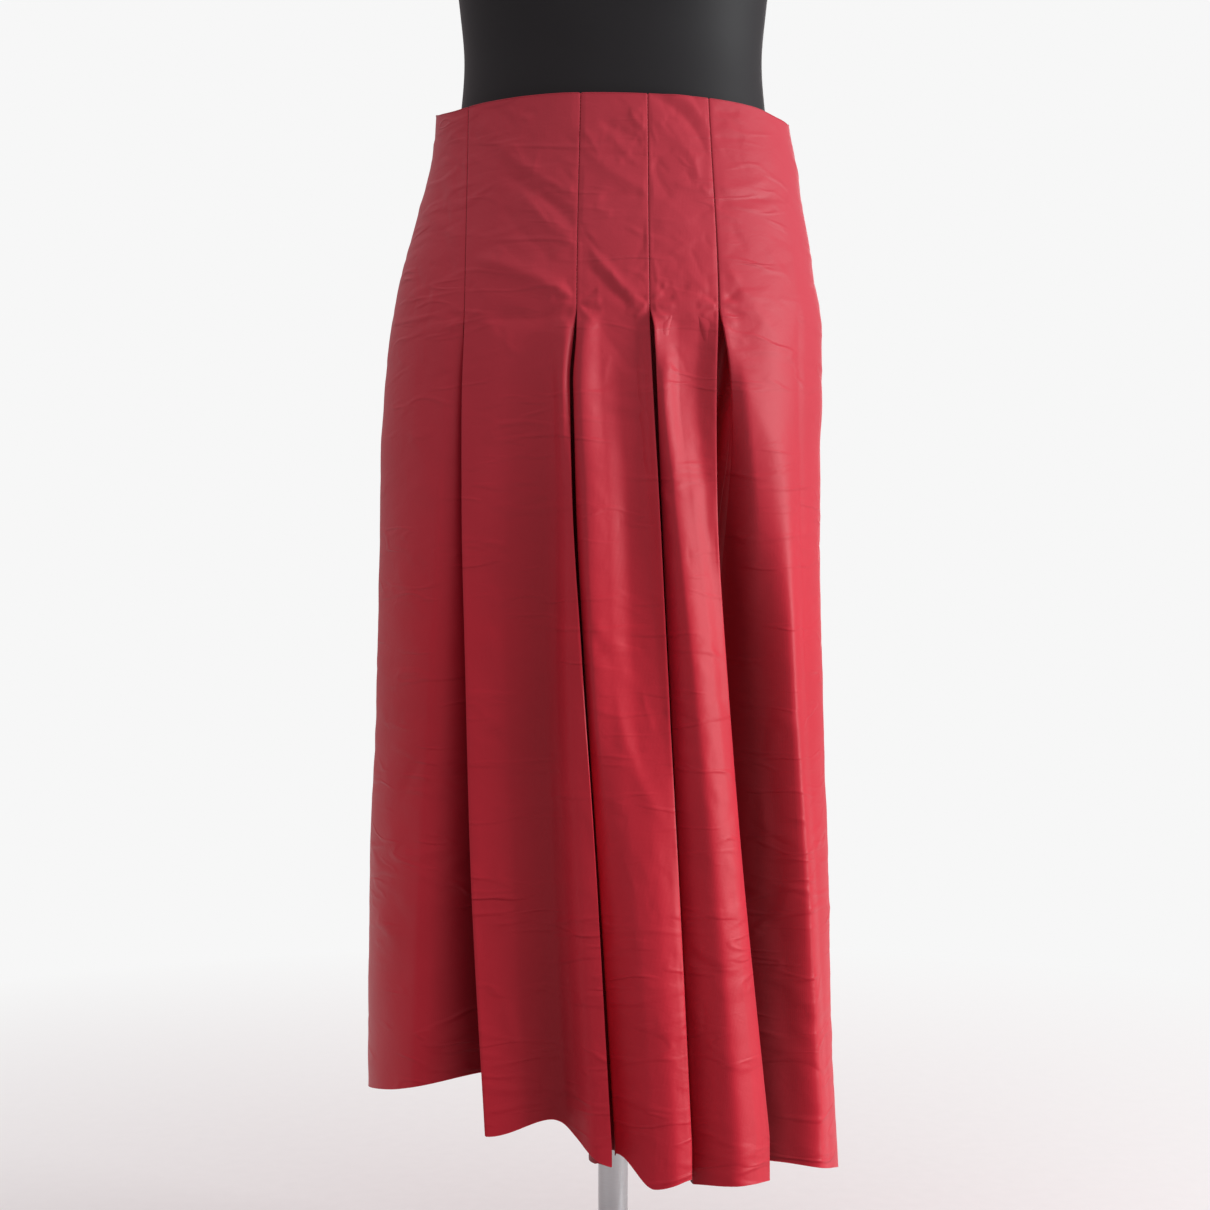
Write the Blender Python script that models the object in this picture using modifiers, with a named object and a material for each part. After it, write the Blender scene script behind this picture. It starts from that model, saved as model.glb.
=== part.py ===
"""Midi skirt with stitched-down inverted pleats, on a limbless dress form with a stand.

Metres, +Z up. +X is the wearer's left, -Y is the front. The origin is at the centre of
the underside of the base, on the axis of the pole.
"""
import math

import bmesh
import bpy
import numpy as np
from mathutils import Matrix

MM = 0.001

# Cloth
WALL = 1.0 * MM             # wall of every cloth piece
GAP = 0.3 * MM              # clear space at seams and between touching solids
LAYER_PITCH = 1.8 * MM      # from layer to layer of a pleat that is stitched flat
UNDERLAP = 20.0 * MM        # cloth folded back on each side of a stitched pleat
OPEN_REACH = 11.0 * MM      # half the width of the bottom of an open pleat
OPENING = 30.0 * MM         # growth of a pleat's depth over which it opens
TUCK = 0.2                  # how near a pressed fold's inner layer lies behind the gore
EDGE = (WALL + GAP) / 2     # from a pleat line to the middle of the wall beside it
CORNER_SHARE = 0.45         # most of a stretch that the round of its corner takes up
FLAP_POINTS = 4             # points of a pleat's half before the edge of its gore

# Stand and form
BASE_RADIUS = 180 * MM
BASE_THICKNESS = 8 * MM
BASE_EDGE = 2.5 * MM
BOSS_RADIUS = 26 * MM
BOSS_HEIGHT = 34 * MM
BOSS_EDGE = 3 * MM
POLE_RADIUS = 12.5 * MM
COLLAR_RADIUS = 38 * MM
COLLAR_HEIGHT = 8 * MM
FORM_BOTTOM = 0.740
NECK_TOP = 1.500
NECK_CAP_RADIUS = 49 * MM
NECK_CAP_HEIGHT = 9 * MM
NECK_CAP_DOME = 1 * MM      # rise of the cap's middle above its shoulder
NECK_CAP_EDGE = 4 * MM
ROUND_SIDES = 48

# Zip behind the top of the centre-back seam
ZIP_LENGTH = 0.200
ZIP_TAPE_WIDTH = 24 * MM
ZIP_TAPE_DROP = 2 * MM      # from the top edge of the cloth to the end of the tape
SLIDER_TOP = 1.024          # height of the slider's upper end
SLIDER_SIZE = (5.6 * MM, 2.0 * MM, 9.0 * MM)
CHEEK_SIZE = (0.9 * MM, 3.6 * MM, 3.0 * MM)
CHEEK_PLACE = 2.25 * MM     # from the middle of the slider to the middle of a cheek
BAR_RADIUS = 0.7 * MM
BAR_STAND_OFF = 2.6 * MM    # from the slider's outer face to the bar's axis
PULL_EYE_RADIUS = 2.0 * MM
PULL_HOLE_RADIUS = 1.1 * MM
PULL_NECK_WIDTH = 2.8 * MM
PULL_WIDTH = 5.4 * MM
PULL_LENGTH = 23 * MM
PULL_THICKNESS = 1.1 * MM
PULL_SHOULDER = 8 * MM      # below the eye, where the plate starts to widen
PULL_ROOT = 1.2 * MM        # below the eye's axis, inside the eye

# Outline of the skirt, smooth and without folds: each section is two half ovals.
SECTION_POWER = 2.25
SECTION_POINTS = 361
#   height   left    right   front   back     half width of each side and half depths
SECTIONS = (
    (0.120, 0.2035, 0.1900, 0.1560, 0.1580),
    (0.286, 0.2045, 0.1825, 0.1540, 0.1550),
    (0.413, 0.2030, 0.1800, 0.1500, 0.1510),
    (0.540, 0.1985, 0.1760, 0.1450, 0.1470),
    (0.683, 0.1960, 0.1735, 0.1380, 0.1440),
    (0.743, 0.1950, 0.1735, 0.1350, 0.1430),
    (0.793, 0.1920, 0.1750, 0.1320, 0.1430),
    (0.844, 0.1869, 0.1750, 0.1285, 0.1420),
    (0.895, 0.1780, 0.1684, 0.1210, 0.1370),
    (0.945, 0.1638, 0.1602, 0.1120, 0.1240),
    (0.996, 0.1518, 0.1522, 0.1040, 0.1100),
    (1.026, 0.1486, 0.1470, 0.1000, 0.1040),
    (1.045, 0.1478, 0.1450, 0.0990, 0.1030),
)
# Height of the top edge along the waist. -1 and 1 are the centre back, 0 the centre front.
TOP_EDGE = (
    (-1.00, 1.0340), (-0.62, 1.0335), (-0.50, 1.0320), (-0.41, 1.0245), (-0.34, 1.0215),
    (-0.25, 1.0230), (-0.10, 1.0250), (0.00, 1.0247), (0.20, 1.0230), (0.30, 1.0213),
    (0.37, 1.0180), (0.42, 1.0182), (0.50, 1.0255), (0.66, 1.0320), (1.00, 1.0340),
)
WAIST_HEIGHT = 1.0245       # where the top edge is measured round
# Rows of the cloth solids between the hem and the top edge
ROW_HEIGHTS = (0.275, 0.350, 0.430, 0.515, 0.600, 0.680, 0.745, 0.797, 0.834, 0.858, 0.905,
               0.950, 0.987, 1.010)

# Heights at which the pleats and folds are given, from the waist down to the hem.
# The first two are the ends of the stitching, between which the pleats lie flat.
FOLD_HEIGHTS = (1.025, 0.854, 0.834, 0.790, 0.700, 0.580, 0.420, 0.205)
FLAT = 2 * LAYER_PITCH / MM
# Pleats in millimetres, with a column for each of the FOLD_HEIGHTS. "first" is the edge of
# the gore before the pleat, going round from the centre back over the left side and the
# front, and "second" that of the gore after it. Offsets run that way round, from the line.
# Soft is 0 for a pressed edge and 1 for one that rounds away.
PLEATS = {
    "front_1": {
        "line":          (-117.0, -117.5, -118.0, -118.5, -118.0, -114.5, -109.5, -97.0),
        "first_offset":  (0, 0, -1, -2, -3, -4, -4, -6),
        "first_in":      (0, 0, 2, 8, 18, 29, 40, 52),
        "first_soft":    (0, 0, 0.1, 0.3, 0.8, 1, 1, 1),
        "second_offset": (0, 0, 0, -1, -2, -3, -3, -4),
        "second_in":     (0, 0, 0, 0, 1, 2, 2, 4),
        "second_soft":   (0, 0, 0, 0, 0, 0, 0, 0),
        "bottom_offset": (0, 0, 0, 1, 2, 4, 7, 9),
        "depth":         (FLAT, FLAT, 10, 18, 32, 45, 56, 66),
    },
    "front_2": {
        "line":          (-26.0, -28.7, -28.5, -27.5, -25.5, -21.0, -11.5, 0.5),
        "first_offset":  (0, 0, -2, -6.5, -6, -3, -1.5, -1),
        "first_in":      (0, 0, -1, -1, -4, -3, -2, 0),
        "first_soft":    (0, 0, 0, 0, 0.1, 0.3, 0.6, 0.8),
        "second_offset": (0, 0, -0.5, -4.5, -4.5, -3, -1.5, 0),
        "second_in":     (0, 0, -2, -1, 1, 4, 9, 18),
        "second_soft":   (0, 0, 0.1, 0.4, 0.6, 0.8, 0.8, 0.8),
        "bottom_offset": (0, 0, 0, 0, 1, -2, -4.5, -10),
        "depth":         (FLAT, FLAT, 18, 24, 34, 40, 46, 54),
    },
    "front_3": {
        "line":          (27.0, 28.0, 29.0, 31.0, 35.5, 41.5, 50.5, 63.0),
        "first_offset":  (0, 0, -0.5, -0.5, -0.5, -0.5, -0.5, -1),
        "first_in":      (0, 0, 1, 0, -2, -1, 2, 6),
        "first_soft":    (0, 0, 0, 0, 0, 0, 0.1, 0.5),
        "second_offset": (0, 0, 2, 2, 1.5, 1.5, 1.5, 2),
        "second_in":     (0, 0, -4, -1, 5, 9, 13, 20),
        "second_soft":   (0, 0, 0, 0.2, 0.5, 0.7, 0.9, 1),
        "bottom_offset": (0, 0, 0, -1, -2, -2, -2, -3),
        "depth":         (FLAT, FLAT, 18, 24, 34, 42, 48, 60),
    },
    "front_4": {
        "line":          (75.6, 82.0, 81.0, 80.2, 82.0, 90.0, 103.0, 127.0),
        "first_offset":  (0, 0, 0, 0, 0, 0, 0, 0),
        "first_in":      (0, 0, -2, -1, 3, 6, 6, 8),
        "first_soft":    (0, 0, 0, 0, 0, 0, 0.1, 0.4),
        "second_offset": (0, 1, 5, 15, 23, 25, 25, 18),
        "second_in":     (0, 0, -2, 5, 25, 47, 46, 40),
        "second_soft":   (0, 0, 0, 0, 0.5, 1, 1, 1),
        "bottom_offset": (0, 0, 2, 5, -2, -9, -14, -16),
        "depth":         (FLAT, FLAT, 17, 28, 50, 60, 66, 66),
    },
}


def hidden_pleat(waist, hip, hem, deepest, swing):
    """A pleat of the back, opening as those of the front do."""
    drop = (0, 0, 0.03, 0.10, 0.26, 0.48, 0.74, 1.0)      # of the hem's opening
    first_share, second_share, early = 0.12, 0.55, 0.8
    below_hip = tuple(hip + (hem - hip) * fall for fall in drop[1:])
    return {
        "line":          (waist,) + below_hip,
        "first_offset":  tuple(-swing * fall for fall in drop),
        "first_in":      tuple(first_share * deepest * fall for fall in drop),
        "first_soft":    (0, 0, 0, 0.1, 0.3, 0.5, 0.8, 1),
        "second_offset": tuple(swing * fall for fall in drop),
        "second_in":     tuple(second_share * deepest * fall for fall in drop),
        "second_soft":   (0, 0, 0, 0.2, 0.5, 0.8, 1, 1),
        "bottom_offset": (0,) * len(drop),
        "depth":         tuple(FLAT + (deepest - FLAT) * fall ** early for fall in drop),
    }


PLEATS["back_1"] = hidden_pleat(-33, -40, -48, 52, 3)
PLEATS["back_2"] = hidden_pleat(-84, -97, -122, 58, 4)
PLEATS["back_3"] = hidden_pleat(92, 104, 131, 50, 3)
PLEATS["back_4"] = hidden_pleat(39, 44, 62, 60, 4)

# Soft folds of each gore in millimetres, in the order of the gore's section: name, places
# across at the FOLD_HEIGHTS, then depths inward from the outline.
FOLDS = {
    "front_gore_1": (
        ("side swell", (-148, -180, -181, -183, -186, -186, -190, -192),
         (0, 0, 0, 0, 1, 1, 0, -1)),
        ("crest",      (-134, -136, -134, -133, -137, -143, -152, -161),
         (0, 0, -1, -1, -2, -2, -1, 0)),
        ("shoulder",   (-124, -125, -125, -126, -127, -127, -127, -121),
         (0, 0, 0, 1, 6, 15, 26, 38)),
    ),
    "front_gore_2": (
        ("left face",    (-100, -99, -98, -94, -92, -91, -86, -76), (0, 0, 0, 2, 6, 9, 10, 13)),
        ("valley",       (-72, -64, -62, -58, -56, -57, -52, -42), (0, 0, 1, 6, 13, 18, 20, 26)),
        ("valley right", (-60, -57, -55, -49, -47, -47, -41, -29), (0, 0, 1, 4, 10, 14, 14, 17)),
        ("tube",         (-46, -46, -36, -39, -37, -34, -26, -13), (0, 0, -4, -5, 0, 0, 0, 2)),
    ),
    "front_gore_3": (
        ("left wall",  (-13, -14, -22.5, -25, -20.5, -16, -1, 18), (0, 0, -4, -5, -5, -4, 4, 9)),
        ("slope",      (-6, -6, -10, -9, -4, -2, 16, 34), (0, 0, 0, 2, 0, -1, -1, 2)),
        ("trough",     (7, 8, 7, 6, 12, 16, 30, 46), (0, 0, 1.5, 5.5, 6, 4, -2, 0)),
        ("right wall", (17, 18, 19, 20, 25, 33, 43, 56), (0, 0, 2.5, 5, 4, 2, 0, 3)),
    ),
    "front_gore_4": (
        ("crest",  (38, 40, 40, 38.5, 47, 60, 77, 97), (0, 0, 0, -4, -5, -6, -5, -3)),
        ("slope",  (50, 52, 52, 52, 60, 74, 90, 108), (0, 0, 3.5, 3.5, -1, -2, -2, -1)),
        ("trough", (62, 66, 66, 65, 74, 83, 97, 117), (0, 0, 3, 6, 4, 3, 1.5, 3)),
    ),
    "front_gore_5": (
        ("ramp",      (94, 99, 101, 104, 117, 130, 142, 156), (0, 0, 0, 0, 6, 19, 20, 19)),
        ("crest",     (118, 124, 124, 126, 137, 141, 151, 166), (0, 0, -1, -1, -2, -3, -3, -1)),
        ("side fold", (134, 148, 148, 149, 152, 156, 164, 177), (0, 0, 0, 0, 1, 1, 1, 1)),
    ),
    "back_gore_1": (
        ("middle", (-16, -19, -19, -19, -20, -21, -22, -23), (0, 0, 0, 0, 2, 4, 4, 3)),
    ),
    "back_gore_2": (
        ("inner third", (-51, -58, -59, -60, -62, -66, -70, -72), (0, 0, 1, 2, 5, 9, 14, 20)),
        ("outer third", (-68, -78, -79, -80, -82, -88, -92, -96), (0, 0, 0, 0, 0, -1, -1, -1)),
    ),
    "back_gore_3": (
        ("inner face", (-101, -115, -116, -117, -120, -128, -138, -146),
         (0, 0, 0, 0, 0, 0, 0, 2)),
        ("outer face", (-133, -160, -163, -166, -168, -172, -176, -180),
         (0, 0, 0, 0, 2, 4, 6, 8)),
    ),
    "back_gore_4": (
        ("outer face", (128, 150, 152, 153, 154, 158, 162, 168), (0, 0, 0, 0, 2, 3, 4, 5)),
        ("inner face", (109, 122, 123, 124, 127, 134, 142, 150), (0, 0, 0, 0, 0, -1, -1, 0)),
    ),
    "back_gore_5": (
        ("outer third", (74, 86, 87, 88, 92, 98, 104, 112), (0, 0, 0, 0, 0, -1, -1, -1)),
        ("inner third", (57, 62, 64, 66, 70, 76, 84, 88), (0, 0, 0, 1, 3, 7, 12, 17)),
    ),
    "back_gore_6": (
        ("middle", (20, 22, 22, 22, 23, 24, 26, 28), (0, 0, 0, 0, 1, 3, 3, 2)),
    ),
}
# Gores in order round the skirt, each with the seams that bound it, and the height of the
# hem at its first seam, first edge, middle, last edge and last seam.
GORES = (
    ("back_gore_1",  "centre_back", "back_1",     (0.181, 0.181, 0.183, 0.185, 0.189)),
    ("back_gore_2",  "back_1",      "back_2",     (0.189, 0.191, 0.194, 0.196, 0.200)),
    ("back_gore_3",  "back_2",      "side_right", (0.200, 0.203, 0.210, 0.216, 0.216)),
    ("front_gore_1", "side_right",  "front_1",    (0.216, 0.216, 0.2335, 0.251, 0.233)),
    ("front_gore_2", "front_1",     "front_2",    (0.233, 0.2105, 0.2215, 0.193, 0.188)),
    ("front_gore_3", "front_2",     "front_3",    (0.188, 0.198, 0.1745, 0.180, 0.166)),
    ("front_gore_4", "front_3",     "front_4",    (0.166, 0.172, 0.174, 0.171, 0.158)),
    ("front_gore_5", "front_4",     "side_left",  (0.158, 0.176, 0.163, 0.146, 0.146)),
    ("back_gore_4",  "side_left",   "back_3",     (0.146, 0.146, 0.150, 0.157, 0.161)),
    ("back_gore_5",  "back_3",      "back_4",     (0.161, 0.163, 0.167, 0.171, 0.175)),
    ("back_gore_6",  "back_4",      "centre_back", (0.175, 0.177, 0.179, 0.181, 0.181)),
)

# Sections of the dress form, from the bottom to the neck
FORM_POWER = 2.2
FORM_POINTS = 40
#   height   half    front   back    bust
FORM_SECTIONS = (
    (FORM_BOTTOM, 0.128, 0.060, 0.088, 0),
    (0.746, 0.150, 0.076, 0.108, 0),
    (0.762, 0.164, 0.088, 0.121, 0),
    (0.790, 0.1705, 0.0960, 0.1285, 0),
    (0.825, 0.1720, 0.1020, 0.1325, 0),
    (0.860, 0.1695, 0.1135, 0.1320, 0),
    (0.900, 0.1635, 0.1125, 0.1275, 0),
    (0.945, 0.1540, 0.1045, 0.1160, 0),
    (0.990, 0.1400, 0.0970, 0.1035, 0),
    (1.030, 0.1285, 0.0920, 0.0960, 0),
    (1.075, 0.1253, 0.0880, 0.0910, 0),
    (1.120, 0.1290, 0.0880, 0.0900, 0.1),
    (1.170, 0.1360, 0.0900, 0.0910, 0.45),
    (1.215, 0.1430, 0.0920, 0.0940, 0.9),
    (1.245, 0.1470, 0.0930, 0.0970, 1.0),
    (1.280, 0.1530, 0.0920, 0.1010, 0.8),
    (1.320, 0.1590, 0.0890, 0.1040, 0.4),
    (1.360, 0.1620, 0.0820, 0.1030, 0.1),
    (1.395, 0.1580, 0.0740, 0.0970, 0),
    (1.418, 0.1400, 0.0670, 0.0880, 0),
    (1.436, 0.1080, 0.0610, 0.0770, 0),
    (1.450, 0.0780, 0.0560, 0.0660, 0),
    (1.465, 0.0600, 0.0540, 0.0580, 0),
    (1.482, 0.0540, 0.0520, 0.0540, 0),
    (NECK_TOP, 0.0520, 0.0500, 0.0520, 0),
)
BUST_PROUD = 30 * MM
BUST_PLACE = 72 * MM        # from the middle of the form to the middle of each side
BUST_SPREAD = 46 * MM


def smooth(places, values, where):
    """Monotone cubic through the points, so that a fold never swings past its own depth."""
    places = np.asarray(places, float)
    values = np.asarray(values, float)
    where = np.clip(np.asarray(where, float), places[0], places[-1])
    steps = np.diff(places)
    slopes = np.diff(values) / steps
    tangents = np.zeros(len(places))
    tangents[0], tangents[-1] = slopes[0], slopes[-1]
    same_way = slopes[:-1] * slopes[1:] > 0
    before, after = slopes[:-1][same_way], slopes[1:][same_way]
    left, right = steps[:-1][same_way], steps[1:][same_way]
    weights = (2 * right + left, right + 2 * left)
    tangents[1:-1][same_way] = sum(weights) / (weights[0] / before + weights[1] / after)
    at = np.clip(np.searchsorted(places, where, "right") - 1, 0, len(steps) - 1)
    t = (where - places[at]) / steps[at]
    return (values[at] * (1 + 2 * t) * (1 - t) ** 2 + values[at + 1] * t * t * (3 - 2 * t)
            + steps[at] * t * (1 - t) * (tangents[at] * (1 - t) - tangents[at + 1] * t))


def at_height(row, height):
    """A row of a pleat or fold table, in metres, at a height."""
    return float(smooth(FOLD_HEIGHTS[::-1], row[::-1], height)) * MM


class Section:
    """The skirt's smooth outline at one height, measured along its arc from the front."""

    def __init__(self, height):
        heights = [row[0] for row in SECTIONS]
        left, right, front, back = (
            float(smooth(heights, [row[column] for row in SECTIONS], height))
            for column in (1, 2, 3, 4)
        )
        angle = np.linspace(-math.pi, math.pi, SECTION_POINTS)
        across, along = np.sin(angle), np.cos(angle)
        across[0] = across[-1] = 0
        self.x = np.where(across < 0, left, right) * np.sign(across)
        self.x *= np.abs(across) ** (2 / SECTION_POWER)
        self.y = -np.where(along > 0, front, back) * np.sign(along)
        self.y *= np.abs(along) ** (2 / SECTION_POWER)
        self.arc = np.concatenate(
            ([0], np.cumsum(np.hypot(np.diff(self.x), np.diff(self.y)))))
        self.side = SECTION_POINTS // 4
        self.arc -= self.arc[SECTION_POINTS // 2]
        slope_x, slope_y = np.gradient(self.x, self.arc), np.gradient(self.y, self.arc)
        length = np.hypot(slope_x, slope_y)
        self.inward_x, self.inward_y = -slope_y / length, slope_x / length

    def arc_at(self, x, back):
        """The arc place of a width x on the front or on the back."""
        if not back:
            reach = slice(self.side, SECTION_POINTS - self.side)
            return float(np.interp(x, self.x[reach], self.arc[reach]))
        reach = slice(0, self.side + 1) if x < 0 else slice(-self.side - 1, None)
        return float(np.interp(x, self.x[reach][::-1], self.arc[reach][::-1]))

    def seam(self, name):
        """The arc places just before and just after a plain seam."""
        if name == "centre_back":
            return self.arc[-1] - GAP / 2, self.arc[0] + GAP / 2
        middle = self.arc[self.side if name == "side_right" else -self.side - 1]
        return middle - GAP / 2, middle + GAP / 2

    def place(self, arc, inward):
        """Points in plan at arc places, moved inward."""
        x, y, inward_x, inward_y = (
            np.interp(arc, self.arc, values)
            for values in (self.x, self.y, self.inward_x, self.inward_y)
        )
        return x + inward * inward_x, y + inward * inward_y


def pleat_side(section, pleat, side, height):
    """Corners of one gore's half of a pleat, from the seam at its bottom to its edge."""
    table = PLEATS[pleat]
    row = {key: at_height(values, height) for key, values in table.items()}
    line = section.arc_at(row["line"], pleat.startswith("back"))
    turn = -1 if side == "first" else 1
    edge = line + row[side + "_offset"] + turn * EDGE
    inward, depth, soft = row[side + "_in"], row["depth"], row[side + "_soft"] / MM
    opening = min(1, max(0, depth - 2 * LAYER_PITCH) / OPENING)
    reach = UNDERLAP + (OPEN_REACH - UNDERLAP) * opening
    bottom = line + row["bottom_offset"]
    under = bottom + turn * reach
    tucked = TUCK + (0.5 - TUCK) * soft
    middle = inward + max(LAYER_PITCH, tucked * (depth - inward))
    pressed = np.array((edge, inward + LAYER_PITCH))
    rounded = np.array(((edge + under) / 2, (inward + middle) / 2))
    return [
        np.array((bottom + turn * GAP / 2, depth)),
        np.array((under, depth)),
        np.array((under, middle)),
        pressed + (rounded - pressed) * soft,
        np.array((edge, inward)),
    ]


def cut_corner(before, corner, after):
    """The middle of the round that replaces a corner."""
    into, out = (before - corner) * CORNER_SHARE, (after - corner) * CORNER_SHARE
    longest = max(np.linalg.norm(into), np.linalg.norm(out))
    return corner + (into + out) * min(1, LAYER_PITCH / 2 / longest) / 4


def gore_section(name, first, last, height):
    """A gore's section at a height, in plan, from its first seam to its last."""
    section = Section(height)
    back = name.startswith("back")
    start = pleat_side(section, first, "second", height) if first in PLEATS else None
    end = pleat_side(section, last, "first", height) if last in PLEATS else None
    face = [start[-1] if start else np.array((section.seam(first)[1], 0))]
    for _, places, depths in FOLDS[name]:
        face.append(np.array((section.arc_at(at_height(places, height), back),
                              at_height(depths, height))))
    face.append(end[-1] if end else np.array((section.seam(last)[0], 0)))
    face = np.array(face)
    middles = (face[:-1, 0] + face[1:, 0]) / 2
    arcs = np.sort(np.concatenate((face[:, 0], middles)))
    points = [np.array(pair) for pair in zip(arcs, smooth(face[:, 0], face[:, 1], arcs))]
    if start:
        points = start[:-1] + points
    if end:
        points = points + end[-2::-1]
    rounded = list(points)
    turns = range(1, FLAP_POINTS + 1)
    corners = list(turns) if start else []
    corners += [len(points) - 1 - corner for corner in turns] if end else []
    for corner in corners:
        rounded[corner] = cut_corner(points[corner - 1], points[corner], points[corner + 1])
    path = np.array(rounded)
    return np.column_stack(section.place(path[:, 0], path[:, 1])), path[:, 0]


def hem_heights(first, last, count, heights):
    """The height of the hem at each point of a gore's section."""
    lead = FLAP_POINTS if first in PLEATS else 0
    tail = FLAP_POINTS if last in PLEATS else 0
    start, first_edge, middle, last_edge, end = heights
    places = [0, lead, (lead + count - 1 - tail) / 2, count - 1 - tail, count - 1]
    values = [start, first_edge, middle, last_edge, end]
    keep = [i for i in range(5) if i in (0, 2, 4) or places[i] not in (0, count - 1)]
    return np.interp(np.arange(count), [places[i] for i in keep], [values[i] for i in keep])


def material(name, colour, roughness, metallic=0.0):
    made = bpy.data.materials.new(name)
    made.use_nodes = True
    made.diffuse_color = (*colour, 1)
    shader = made.node_tree.nodes["Principled BSDF"]
    shader.inputs["Base Color"].default_value = (*colour, 1)
    shader.inputs["Roughness"].default_value = roughness
    shader.inputs["Metallic"].default_value = metallic
    return made


def add_object(name, mesh, collection, finish, smooth_angle=None):
    thing = bpy.data.objects.new(name, mesh)
    collection.objects.link(thing)
    mesh.materials.append(finish)
    if smooth_angle:
        mesh.shade_smooth()
        mesh.set_sharp_from_angle(angle=math.radians(smooth_angle))
    return thing


def grid_mesh(name, rows, closed=False, capped=False):
    """A mesh through rows of points, from the lowest row up."""
    count = len(rows[0])
    shape = bmesh.new()
    verts = [[shape.verts.new(point) for point in row] for row in rows]
    for low, high in zip(verts, verts[1:]):
        for i in range(count if closed else count - 1):
            j = (i + 1) % count
            shape.faces.new((low[i], low[j], high[j], high[i]))
    if capped:
        shape.faces.new(verts[0][::-1])
        shape.faces.new(verts[-1])
    mesh = bpy.data.meshes.new(name)
    shape.to_mesh(mesh)
    shape.free()
    return mesh


def add_wall(thing, thickness):
    wall = thing.modifiers.new("wall", "SOLIDIFY")
    wall.thickness = thickness
    wall.offset = 0
    wall.use_even_offset = True


def make_gore(name, first, last, heights, collection, cloth):
    """One gore: an open sheet through its sections, with the wall from Solidify."""
    plan, arcs = gore_section(name, first, last, WAIST_HEIGHT)
    tops = smooth([row[0] for row in TOP_EDGE], [row[1] for row in TOP_EDGE],
                  arcs / Section(WAIST_HEIGHT).arc[-1])
    hems = hem_heights(first, last, len(plan), heights)

    def uneven_row(row_heights):
        row = []
        for column, height in enumerate(row_heights):
            x, y = gore_section(name, first, last, height)[0][column]
            row.append((x, y, height))
        return row

    rows = [uneven_row(hems)]
    for height in ROW_HEIGHTS:
        plan, _ = gore_section(name, first, last, height)
        rows.append([(x, y, height) for x, y in plan])
    rows.append(uneven_row(tops))
    add_wall(add_object(name, grid_mesh(name, rows), collection, cloth), WALL)


def form_row(height, half, front, back, bust):
    """A section of the dress form, counter-clockwise from the right."""
    row = []
    for step in range(FORM_POINTS):
        angle = 2 * math.pi * step / FORM_POINTS
        across, along = math.cos(angle), math.sin(angle)
        x = half * math.copysign(abs(across) ** (2 / FORM_POWER), across)
        depth = back if along > 0 else front
        y = depth * math.copysign(abs(along) ** (2 / FORM_POWER), along)
        if along < 0:
            away = (abs(x) - BUST_PLACE) / BUST_SPREAD
            y -= bust * BUST_PROUD * math.exp(-away * away) * abs(along) ** 0.5
        row.append((x, y, height))
    return row


def turned(name, profile, collection, finish):
    """A solid turned about the pole's axis from a profile of radius and height, top first."""
    mesh = bpy.data.meshes.new(name)
    shape = bmesh.new()
    points = [shape.verts.new((radius, 0, height)) for radius, height in profile]
    for upper, lower in zip(points, points[1:]):
        shape.edges.new((upper, lower))
    shape.to_mesh(mesh)
    shape.free()
    thing = add_object(name, mesh, collection, finish)
    screw = thing.modifiers.new("turn", "SCREW")
    screw.steps = ROUND_SIDES
    screw.render_steps = ROUND_SIDES
    screw.use_merge_vertices = True
    screw.merge_threshold = 0.0001
    return thing


def box_in(shape, size, middle):
    made = bmesh.ops.create_cube(shape, size=1)["verts"]
    bmesh.ops.scale(shape, vec=size, verts=made)
    bmesh.ops.translate(shape, vec=middle, verts=made)


def rod_across(name, radius, length, sides, collection, finish):
    """A cylinder lying along X, centred on its object's origin."""
    shape = bmesh.new()
    bmesh.ops.create_cone(shape, cap_ends=True, segments=sides, radius1=radius,
                          radius2=radius, depth=length)
    bmesh.ops.rotate(shape, verts=shape.verts, cent=(0, 0, 0),
                     matrix=Matrix.Rotation(math.pi / 2, 3, "Y"))
    mesh = bpy.data.meshes.new(name)
    shape.to_mesh(mesh)
    shape.free()
    return add_object(name, mesh, collection, finish)


def join(thing, tool, operation):
    cut = thing.modifiers.new(operation.lower(), "BOOLEAN")
    cut.operation = operation
    cut.object = tool
    tool.hide_render = True
    tool.display_type = "WIRE"


def boxes_object(name, boxes, collection, finish):
    shape = bmesh.new()
    for size, middle in boxes:
        box_in(shape, size, middle)
    mesh = bpy.data.meshes.new(name)
    shape.to_mesh(mesh)
    shape.free()
    return add_object(name, mesh, collection, finish)


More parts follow.
